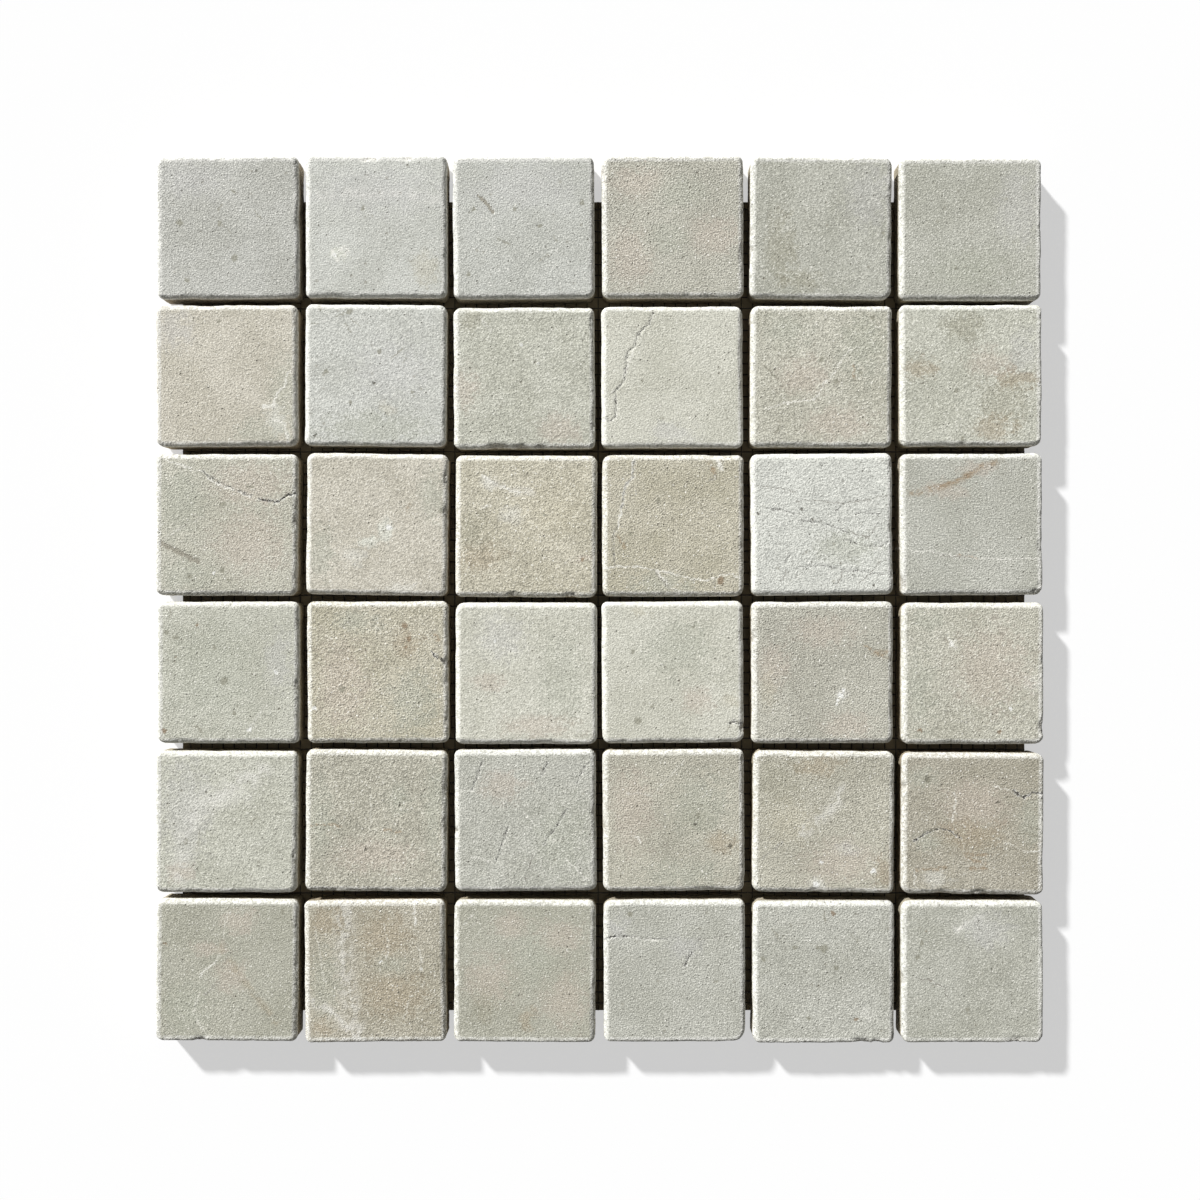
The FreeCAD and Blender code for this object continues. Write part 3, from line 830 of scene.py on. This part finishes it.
def blendColour(tree, factor, under, over, how="MIX"):
    node = addNode(tree, "ShaderNodeMix", data_type="RGBA", blend_type=how)
    feed(tree, node.inputs["Factor"], factor)
    feed(tree, node.inputs["A"], under)
    feed(tree, node.inputs["B"], over)
    return node.outputs["Result"]


# Smoothly from low where a value is at the span's start to high where it is at its end.
def fade(tree, value, span, low=0.0, high=1.0):
    node = addNode(tree, "ShaderNodeMapRange", interpolation_type="SMOOTHSTEP")
    for name, given in (("Value", value), ("From Min", span[0]), ("From Max", span[1]),
                        ("To Min", low), ("To Max", high)):
        feed(tree, node.inputs[name], given)
    return node.outputs["Result"]


def noiseOf(tree, place, pattern):
    node = addNode(tree, "ShaderNodeTexNoise")
    feed(tree, node.inputs["Vector"], place)
    for name, value in zip(("Scale", "Detail", "Roughness"), pattern):
        node.inputs[name].default_value = value
    return node.outputs


def strayOf(tree, place, pattern, reach):  # how far a drawn mark strays, right and up
    stray = vectors(tree, "SUBTRACT", noiseOf(tree, place, pattern)["Color"], (0.5, 0.5, 0.5))
    return vectors(tree, "MULTIPLY", stray, (reach, reach, 0))


def cellsOf(tree, place, scale):  # how far off the nearest cell is, and its own three numbers
    cells = addNode(tree, "ShaderNodeTexVoronoi")
    feed(tree, cells.inputs["Vector"], place)
    cells.inputs["Scale"].default_value = scale
    numbers = addNode(tree, "ShaderNodeSeparateColor")
    feed(tree, numbers.inputs[0], cells.outputs["Color"])
    return cells.outputs["Distance"], numbers.outputs


# How far a place on the face is from a drawn line: each straight piece of it is turned level
# about its own middle, and what lies beyond its two ends is left.
def lineDistance(tree, place, points):
    best = None
    for (ax, ay), (bx, by) in zip(points, points[1:]):
        level = addNode(tree, "ShaderNodeMapping", vector_type="TEXTURE")
        feed(tree, level.inputs["Vector"], place)
        level.inputs["Location"].default_value = ((ax + bx) / 2, (ay + by) / 2, 0)
        level.inputs["Rotation"].default_value = (0, 0, math.atan2(by - ay, bx - ax))
        half = math.hypot(bx - ax, by - ay) / 2
        aside = vectors(tree, "ABSOLUTE", level.outputs["Vector"])
        beyond = vectors(tree, "SUBTRACT", aside, (half, 0, 0))
        gap = vectors(tree, "LENGTH", vectors(tree, "MAXIMUM", beyond, (0, 0, 0)))
        best = gap if best is None else sums(tree, "MINIMUM", best, gap)
    return best


def addSurface(tree, colour, height, bumpDepth, specular):
    bump = addNode(tree, "ShaderNodeBump")
    bump.inputs["Distance"].default_value = bumpDepth
    feed(tree, bump.inputs["Height"], height)
    surface = addNode(tree, "ShaderNodeBsdfPrincipled")
    feed(tree, surface.inputs["Base Color"], colour)
    surface.inputs["Specular IOR Level"].default_value = specular
    feed(tree, surface.inputs["Normal"], bump.outputs["Normal"])
    output = addNode(tree, "ShaderNodeOutputMaterial")
    tree.links.new(surface.outputs[0], output.inputs["Surface"])
    return surface


# Patterns are given as how many to the mm, detail and roughness, and a span as where a change
# starts and ends.
stoneFinish = {
    "roughness": 0.9,
    "roughnessPlay": 0.2,            # how much smoother the hard grains are
    "specular": 0.3,
    "cloud": (0.055, 3.0, 0.6),      # slow change from the dark tone to the light one
    "cloudSpan": (0.36, 0.64),
    "blotch": (0.3, 4.0, 0.65),
    "grain": (0.95, 2.0, 0.7),
    "fine": (1.9, 1.0, 0.6),
    "blotchTone": 0.19,              # how much each of the three changes the tone
    "grainTone": 0.43,
    "fineTone": 0.97,
    "sway": (0.3, 3.0, 0.6),
    "swayReach": 6.0,                # mm that a patch's outline strays
    "patchBlotch": 2.2,              # how much it is broken up
    "patchGrain": 1.6,
    "patchSpan": (1.25, 0.35),       # how many times its reach
    "jitter": (0.6, 4.0, 0.7),
    "jitterReach": 3.4,              # mm that a drawn spot or line strays
    "spotSpan": (1.25, 0.65),        # how many times a spot's radius
    "fray": 0.4,                     # mm, how ragged a line's edge is
    "lineSpan": (0.75, 0.3),         # how many times a line's width
    "thinLine": 0.7,                 # mm, a thinner line is broken up by the grain
    "breakSpan": (-0.06, 0.06),
    "leastLine": 0.12,               # what still shows where it is broken up
    "rimSpan": (2.0, 0.6),
    "rimGrain": (0.4, 0.55),
    "leastDepth": 0.1,               # mm, a mark less deep than this is only colour
    "pale": shade(240, 238, 230),    # pale crystals, and painted highlight on the raised grains
    "paleGlintSpan": (0.60, 0.72),
    "paleGlintCover": 0.55,
    "dark": shade(128, 122, 108),    # painted shade in the hollows between the grains
    "hollowShadeSpan": (0.36, 0.24),
    "hollowShadeCover": 0.45,
    "crystals": 0.7,                 # how many to the mm
    "crystalSpan": (0.25, 0.10),
    "crystalPick": (0.66, 0.84),
    "crystalCover": 0.7,
    "pits": 0.42,                    # how many places for one to the mm
    "dull": shade(146, 142, 128),    # small dull spots
    "dullSpan": (0.30, 0.16),
    "dullPick": (0.86, 0.98),
    "dullCover": 0.5,
    # dark pits: the stone's own pits, their darker colour partly painted shade in the hollows
    "pit": shade(98, 92, 80),
    "pitSpan": (0.15, 0.07),
    "pitPick": (0.80, 0.95),         # where a place has a pit
    "pitMore": 0.2,                  # how much that falls on a pitted tile
    "pitEdge": 0.35,                 # and along the arrises
    "pitCover": 0.55,
    "pitDepth": 0.22,                # mm
    "grainHeight": 0.14,             # mm, the sandy skin that tumbling leaves
    "fineHeight": 0.15,
    "bruiseAndHighlight": shade(232, 231, 225),  # knocked white, and painted highlight on arrises
    "bruiseAndHighlightSpan": (0.10, 0.5),
    "bruiseAndHighlightGrain": (0.40, 0.60),
    "bruiseAndHighlightCover": (0.25, 0.75),
    "biteShade": shade(112, 104, 92),     # painted shade in the bites of an arris
    "biteShadeSpan": (0.25, 0.8),
    "biteShadeGrain": (0.45, 0.6),
    "biteShadeCover": (0.1, 0.6),
    "side": shade(216, 205, 190),    # painted shade: what the tiles' sides are darkened by
    "sideShadeSpan": (-0.8, -2.6),        # mm above the face
}


def marksOf(look, which):  # each spot or patch of a tile by itself, with its kind first
    return [(kind, *place) for kind, *places in look.get(which, []) for place in places]


def makeStone(name, centre, key, look, finish):
    tone = stoneTones[look["tone"]]
    strength = tone["grain"]
    material, tree = newTree(name)
    rand = random.Random(key[0] * 17 + key[1] * 5)
    shift = [rand.uniform(20, 90) for _ in range(3)]

    source = addNode(tree, "ShaderNodeTexCoord").outputs["Object"]
    inMm = addNode(tree, "ShaderNodeMapping")
    feed(tree, inMm.inputs["Vector"], source)
    inMm.inputs["Location"].default_value = [-c / mm for c in centre]
    inMm.inputs["Scale"].default_value = (1 / mm, 1 / mm, 1 / mm)
    onTile = inMm.outputs["Vector"]
    inStone = vectors(tree, "ADD", onTile, shift)
    onFace = vectors(tree, "MULTIPLY", onTile, (1, 1, 0))
    cloud, blotch, grain, fine = [noiseOf(tree, inStone, finish[pattern])["Fac"]
                                  for pattern in ("cloud", "blotch", "grain", "fine")]

    colour = blendColour(tree, fade(tree, cloud, finish["cloudSpan"]), tone["dark"], tone["light"])
    loose = strayOf(tree, inStone, finish["sway"], finish["swayReach"])
    loose = vectors(tree, "ADD", onFace, loose)
    for kind, right, up, reachRight, reachUp in marksOf(look, "patches"):
        patch = patchKinds[kind]
        away = vectors(tree, "SUBTRACT", loose, (right, up, 0))
        away = vectors(tree, "LENGTH", vectors(tree, "DIVIDE", away, (reachRight, reachUp, 1)))
        away = sums(tree, "ADD", away, evened(tree, blotch, finish["patchBlotch"]))
        away = sums(tree, "ADD", away, evened(tree, grain, finish["patchGrain"]))
        cover = fade(tree, away, finish["patchSpan"], 0.0, patch["cover"])
        colour = blendColour(tree, cover, colour, patch["colour"])

    # grain and crystals, painted highlight and shade on grain and sides, dull spots, dark pits
    blotchTone = finish["blotchTone"] * look.get("mottled", 1.0)
    mottle = evened(tree, blotch, blotchTone * strength)
    for pattern, share in ((grain, finish["grainTone"]), (fine, finish["fineTone"])):
        mottle = sums(tree, "ADD", mottle, evened(tree, pattern, share * strength))
    tint = addNode(tree, "ShaderNodeHueSaturation")
    feed(tree, tint.inputs["Value"], sums(tree, "ADD", mottle, 1.0))
    feed(tree, tint.inputs["Color"], colour)
    colour = tint.outputs["Color"]
    # pale flecks: painted highlight on the raised grains
    cover = fade(tree, fine, finish["paleGlintSpan"], 0.0, finish["paleGlintCover"])
    colour = blendColour(tree, cover, colour, finish["pale"])
    # painted shade in the grain's hollows
    cover = fade(tree, grain, finish["hollowShadeSpan"], 0.0, finish["hollowShadeCover"])
    colour = blendColour(tree, cover, colour, finish["dark"])
    gap, numbers = cellsOf(tree, inStone, finish["crystals"])
    near = fade(tree, gap, finish["crystalSpan"])
    cover = fade(tree, numbers[0], finish["crystalPick"], 0.0, finish["crystalCover"] * strength)
    colour = blendColour(tree, scaled(tree, near, cover), colour, finish["pale"])
    # painted shade on the sides, darker below the face
    below = addNode(tree, "ShaderNodeSeparateXYZ")
    feed(tree, below.inputs[0], onTile)
    sides = fade(tree, below.outputs[2], finish["sideShadeSpan"])
    colour = blendColour(tree, sides, colour, finish["side"], "MULTIPLY")
    edge = addNode(tree, "ShaderNodeAttribute", attribute_name="arrisNearness").outputs["Fac"]
    gap, numbers = cellsOf(tree, inStone, finish["pits"])
    near = fade(tree, gap, finish["dullSpan"])
    cover = fade(tree, numbers[0], finish["dullPick"], 0.0, finish["dullCover"])
    colour = blendColour(tree, scaled(tree, near, cover), colour, finish["dull"])
    often = sums(tree, "ADD", numbers[1], scaled(tree, edge, finish["pitEdge"]))
    near = fade(tree, gap, finish["pitSpan"])
    pick = [bound - finish["pitMore"] * look.get("pitted", 1.0) for bound in finish["pitPick"]]
    pits = scaled(tree, near, fade(tree, often, pick))
    colour = blendColour(tree, scaled(tree, pits, finish["pitCover"]), colour, finish["pit"])

    height = sums(tree, "ADD", scaled(tree, grain, finish["grainHeight"] * strength),
                  scaled(tree, fine, finish["fineHeight"] * strength))
    height = sums(tree, "SUBTRACT", height, scaled(tree, pits, finish["pitDepth"]))

    drawn = strayOf(tree, inStone, finish["jitter"], finish["jitterReach"])
    drawn = vectors(tree, "ADD", onFace, drawn)
    frayed = evened(tree, fine, finish["fray"])
    for kind, right, up, radius in marksOf(look, "spots"):
        spot = spotKinds[kind]
        away = vectors(tree, "DISTANCE", drawn, (right, up, 0))
        span = [radius * times for times in finish["spotSpan"]]
        cover = fade(tree, away, span, 0.0, spot["cover"])
        colour = blendColour(tree, cover, colour, spot["colour"])
        if spot.get("depth", 0) > finish["leastDepth"]:
            height = sums(tree, "SUBTRACT", height, scaled(tree, cover, spot["depth"]))

    for kind, width, *points in look.get("lines", []):
        line = lineKinds[kind]
        soft, deep = line.get("soft", 0), line.get("depth", 0) > finish["leastDepth"]
        gap = sums(tree, "ADD", lineDistance(tree, drawn, points), frayed)
        gaps = grain if deep or width < finish["thinLine"] else blotch
        span = [line["broken"] + change for change in finish["breakSpan"]]
        broken = fade(tree, gaps, span, finish["leastLine"])
        if "rim" in line:
            span = [width * times for times in finish["rimSpan"]]
            rim = fade(tree, gap, span, 0.0, line["rim"])
            rim = scaled(tree, rim, fade(tree, grain, finish["rimGrain"]))
            colour = blendColour(tree, rim, colour, finish["bruiseAndHighlight"])
        start, end = finish["lineSpan"]
        span = width * (start + soft), width * end * (1 - min(soft, 1.0))
        core = scaled(tree, fade(tree, gap, span, 0.0, line["cover"]), broken)
        colour = blendColour(tree, core, colour, line["colour"])
        if deep:
            height = sums(tree, "SUBTRACT", height, scaled(tree, core, line["depth"]))

    # white arrises, partly knocked stone, partly painted highlight; painted shade in their bites
    bite = addNode(tree, "ShaderNodeAttribute", attribute_name="bitten").outputs["Fac"]
    for which, worn, pattern in (("bruiseAndHighlight", edge, grain), ("biteShade", bite, fine)):
        cover = fade(tree, worn, finish[which + "Span"])
        patchy = fade(tree, pattern, finish[which + "Grain"], *finish[which + "Cover"])
        colour = blendColour(tree, scaled(tree, cover, patchy), colour, finish[which])

    surface = addSurface(tree, colour, height, mm, finish["specular"])
    feed(tree, surface.inputs["Roughness"],
         sums(tree, "SUBTRACT", finish["roughness"], scaled(tree, grain, finish["roughnessPlay"])))
    return material


def turnOf(node):  # how far a tile's solid is turned, from the long straight edge round its face
    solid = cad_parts[node].data
    corners = [vert.co for vert in solid.vertices]
    top = max(co.z for co in corners)
    best, turn = 1.0, 0.0
    for edge in solid.edges:
        a, b = corners[edge.vertices[0]], corners[edge.vertices[1]]
        run = b - a if b.x > a.x else a - b
        if min(a.z, b.z) > top - 1e-5 and run.x > 30 * mm and abs(run.y) < 0.03 * run.x:
            if min(a.y, b.y) < best:
                best, turn = min(a.y, b.y), math.atan2(run.y, run.x)
    return turn


def trianglesOf(piece):
    return sum(len(face.vertices) - 2 for face in piece.data.polygons)


print("tiles")
low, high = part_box("tile_r1_c1")
tileThickness = (high[2] - low[2]) / mm
blank = makeBlank(tileThickness, tileShape)
tileTriangles = 0
for key, look in tileLooks.items():
    node = "tile_r%d_c%d" % key
    low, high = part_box(node)
    centre = Vector(((low[0] + high[0]) / 2, (low[1] + high[1]) / 2, low[2]))
    piece = makeTile("stone_" + node, blank, centre, turnOf(node), tileThickness, key, look,
                     tileShape)
    faceMiddle = Vector((centre.x, centre.y, high[2]))
    piece.data.materials.append(makeStone("stone_" + node, faceMiddle, key, look, stoneFinish))
    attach(piece, "root")
    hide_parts(node)
    tileTriangles += trianglesOf(piece)
blank.free()
print("tile triangles", tileTriangles)

# Each set of yarns: how many strands a yarn has, how each is shaped, how high it lies, and how
# far it rises and swings, so many times for each yarn that it crosses. All in mm.
backing = {
    "pitch": 3.85,        # from one yarn to the next
    "solidWidth": 0.5,    # how wide the solids' yarns are
    "wander": 0.10,
    "weft": {"strands": 1, "sides": 6, "width": 0.5, "thickness": 0.22, "lift": 0.13,
             "rise": 0.01, "waves": 2, "swing": 0.0},
    "warp": {"strands": 2, "sides": 4, "width": 0.26, "thickness": 0.18, "lift": 0.25,
             "rise": 0.14, "waves": 1, "swing": 0.12},
}
yarnFinish = {
    "colour": shade(72, 64, 53),
    "dark": shade(44, 39, 32),
    "roughness": 0.62,
    "specular": 0.4,
    "fibres": (1.4, 3.0, 0.6),
    "fibreStretch": (2.2, 2.2, 9.0),
    "fibreHeight": 0.05,     # mm
    "worn": (0.12, 2.0, 0.5),
}


def makeYarn(length, yarn, steps):  # a straight flat yarn along X, in mm
    bm = bmesh.new()
    bmesh.ops.create_circle(bm, cap_ends=True, segments=yarn["sides"], radius=0.5)
    flatSide = Matrix.Rotation(math.pi / yarn["sides"], 4, "Z")
    upright = Matrix.Rotation(math.pi / 2, 4, "Y") @ flatSide
    bmesh.ops.transform(bm, matrix=upright, verts=bm.verts)
    bmesh.ops.scale(bm, vec=(1, yarn["width"], yarn["thickness"]), verts=bm.verts)
    bmesh.ops.spin(bm, geom=bm.faces[:], cent=(0, 0, 0), axis=(0, 0, 1),
                   dvec=(length / steps, 0, 0), angle=0.0, steps=steps, use_duplicate=False)
    return bm


def makeYarnMaterial(finish):
    material, tree = newTree("meshYarn")
    source = addNode(tree, "ShaderNodeTexCoord").outputs["Object"]
    place = vectors(tree, "SCALE", source, 1 / mm)
    stretched = vectors(tree, "MULTIPLY", place, finish["fibreStretch"])
    fibres = noiseOf(tree, stretched, finish["fibres"])["Fac"]
    worn = noiseOf(tree, place, finish["worn"])["Fac"]
    colour = blendColour(tree, fade(tree, fibres, (0.35, 0.65)), finish["dark"], finish["colour"])
    colour = vectors(tree, "SCALE", colour, fade(tree, worn, (0.3, 0.7), 0.8, 1.15))
    surface = addSurface(tree, colour, fibres, finish["fibreHeight"] * mm, finish["specular"])
    surface.inputs["Roughness"].default_value = finish["roughness"]
    return material


# Fills a node's place with yarns that rise and fall past the ones they cross. They are made
# along X, and turned to run along Y for the warp.
def layYarns(name, node, crossed, along, yarn, shape, material):
    low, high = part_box(node)
    across = 1 - along
    pitch, half = shape["pitch"], shape["solidWidth"] / 2
    length = (high[along] - low[along]) / mm
    spread = (high[across] - low[across]) / mm - 2 * half
    firstCross = (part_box(crossed)[0][along] - low[along]) / mm + half
    whole = bmesh.new()
    rand = random.Random(along + 3)
    for index in range(round(spread / pitch) + 1):
        for side in (1, -1)[:yarn["strands"]]:
            bm = makeYarn(length, yarn, round(length / pitch * 2))
            offset = rand.uniform(0, 50)
            for vert in bm.verts:
                phase = (vert.co.x - firstCross) / pitch * math.pi
                wander = shape["wander"] * noise.noise(Vector((vert.co.x * 0.05, offset, 0)))
                vert.co.y += wander + yarn["swing"] * math.sin(phase) * side
                rise = yarn["rise"] * math.cos(yarn["waves"] * phase) * side
                vert.co.z += yarn["lift"] + rise
            where = low[across] / mm + half + index * pitch
            bmesh.ops.translate(bm, vec=(0, where, 0), verts=bm.verts)
            strand = bpy.data.meshes.new("strand")
            bm.to_mesh(strand)
            bm.free()
            whole.from_mesh(strand)
            bpy.data.meshes.remove(strand)
    start = (low[0], 0, 0) if along == 0 else (0, low[1], 0)
    place = Matrix.Translation(start) @ Matrix.Scale(mm, 4)
    if along == 1:
        place = place @ Matrix(((0, 1, 0, 0), (1, 0, 0, 0), (0, 0, 1, 0), (0, 0, 0, 1)))
    bmesh.ops.transform(whole, matrix=place, verts=whole.verts)
    bmesh.ops.recalc_face_normals(whole, faces=whole.faces)
    for face in whole.faces:
        face.smooth = True
    piece = addPiece(name, whole)
    piece.data.materials.append(material)
    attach(piece, "root")
    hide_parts(node)
    print(name, trianglesOf(piece), "triangles")


print("mesh backing")
yarnLook = makeYarnMaterial(yarnFinish)
layYarns("weft_yarns", "mesh_weft", "mesh_warp", 0, backing["weft"], backing, yarnLook)
layYarns("warp_yarns", "mesh_warp", "mesh_weft", 1, backing["warp"], backing, yarnLook)

print("stage")
stage = {
    "floorSize": 6.0,
    "floorColour": shade(248, 248, 248),
    # painted shade: the floor under the mesh, seen down the joints, is a darker brown
    "underMeshShade": shade(160, 149, 126),
    "floorRoughness": 0.95,
    "shadowShare": 0.45,    # how much of the shadow round the sheet the camera is shown
    "keyStrength": 6.3,
    "keyHeight": 27.5,      # degrees above the floor
    "keySide": 40.0,        # degrees left of straight down the photograph
    "keySoftness": 4.0,
    "skyStrength": 0.12,
    "cameraAbove": 0.460,   # metres above the tiles' faces
    "cameraAside": (0.00013, -0.0002),
    "lens": 40.4,           # mm on a 36 mm wide picture
}
white = (1, 1, 1, 1)


# One where the camera, a reflection or a clear piece looks straight at it.
def seenDirectly(tree):
    seen = addNode(tree, "ShaderNodeLightPath").outputs
    mirrored = sums(tree, "MAXIMUM", seen["Is Glossy Ray"], seen["Is Transmission Ray"])
    return sums(tree, "MAXIMUM", seen["Is Camera Ray"], mirrored)


def plainMaterial(name, colour):
    material = bpy.data.materials.new(name)
    material.use_nodes = True
    surface = material.node_tree.nodes["Principled BSDF"]
    surface.inputs["Base Color"].default_value = colour
    surface.inputs["Roughness"].default_value = stage["floorRoughness"]
    surface.inputs["Specular IOR Level"].default_value = 0.0
    return material


# The floor is plain white. Round the sheet its shadow is shown paler to the camera, and under
# the mesh, where it is seen down the joints, it has no veil and a darker brown: painted shade.
weftBox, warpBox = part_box("mesh_weft"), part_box("mesh_warp")
underLow, underHigh = (weftBox[0][0], warpBox[0][1]), (weftBox[1][0], warpBox[1][1])
bm = bmesh.new()
bmesh.ops.create_grid(bm, x_segments=1, y_segments=1, size=stage["floorSize"] / 2)
for axis in (0, 1):
    for edge in (underLow[axis], underHigh[axis]):
        place = (edge, 0, 0) if axis == 0 else (0, edge, 0)
        everything = bm.verts[:] + bm.edges[:] + bm.faces[:]
        bmesh.ops.bisect_plane(bm, geom=everything, plane_co=place, plane_no=(1 - axis, axis, 0))
for face in bm.faces:
    middle = face.calc_center_median()
    inside = all(underLow[axis] < middle[axis] < underHigh[axis] for axis in (0, 1))
    face.material_index = 1 if inside else 0
floor = addPiece("floor", bm)
floorMaterial = plainMaterial("floor", stage["floorColour"])
tree = floorMaterial.node_tree
glow = addNode(tree, "ShaderNodeEmission")
glow.inputs["Color"].default_value = white
veil = addNode(tree, "ShaderNodeMixShader")
feed(tree, veil.inputs[0], scaled(tree, seenDirectly(tree), 1 - stage["shadowShare"]))
tree.links.new(tree.nodes["Principled BSDF"].outputs[0], veil.inputs[1])
tree.links.new(glow.outputs[0], veil.inputs[2])
tree.links.new(veil.outputs[0], tree.nodes["Material Output"].inputs["Surface"])
floor.data.materials.append(floorMaterial)
floor.data.materials.append(plainMaterial("floorUnderMeshShade", stage["underMeshShade"]))

keyData = bpy.data.lights.new("key", "SUN")
keyData.energy = stage["keyStrength"]
keyData.angle = math.radians(stage["keySoftness"])
key = bpy.data.objects.new("key", keyData)
bpy.context.scene.collection.objects.link(key)
height, side = math.radians(stage["keyHeight"]), math.radians(stage["keySide"])
level = math.cos(height)
towards = Vector((math.sin(side) * level, -math.cos(side) * level, -math.sin(height)))
key.rotation_euler = towards.to_track_quat("-Z", "Y").to_euler()

world = bpy.data.worlds.new("sky")
bpy.context.scene.world = world
world.use_nodes = True
tree = world.node_tree
background = tree.nodes["Background"]
background.inputs["Color"].default_value = white
sky = fade(tree, seenDirectly(tree), (0.0, 1.0), stage["skyStrength"])
feed(tree, background.inputs["Strength"], sky)

cameraData = bpy.data.cameras.new("camera")
cameraData.lens = stage["lens"]
cameraData.sensor_width = 36.0
cameraData.clip_start = 0.01
camera = bpy.data.objects.new("camera", cameraData)
bpy.context.scene.collection.objects.link(camera)
camera.location = (*stage["cameraAside"], cadBox[1][2] + stage["cameraAbove"])
bpy.context.scene.camera = camera

bpy.context.scene.view_settings.view_transform = "Standard"
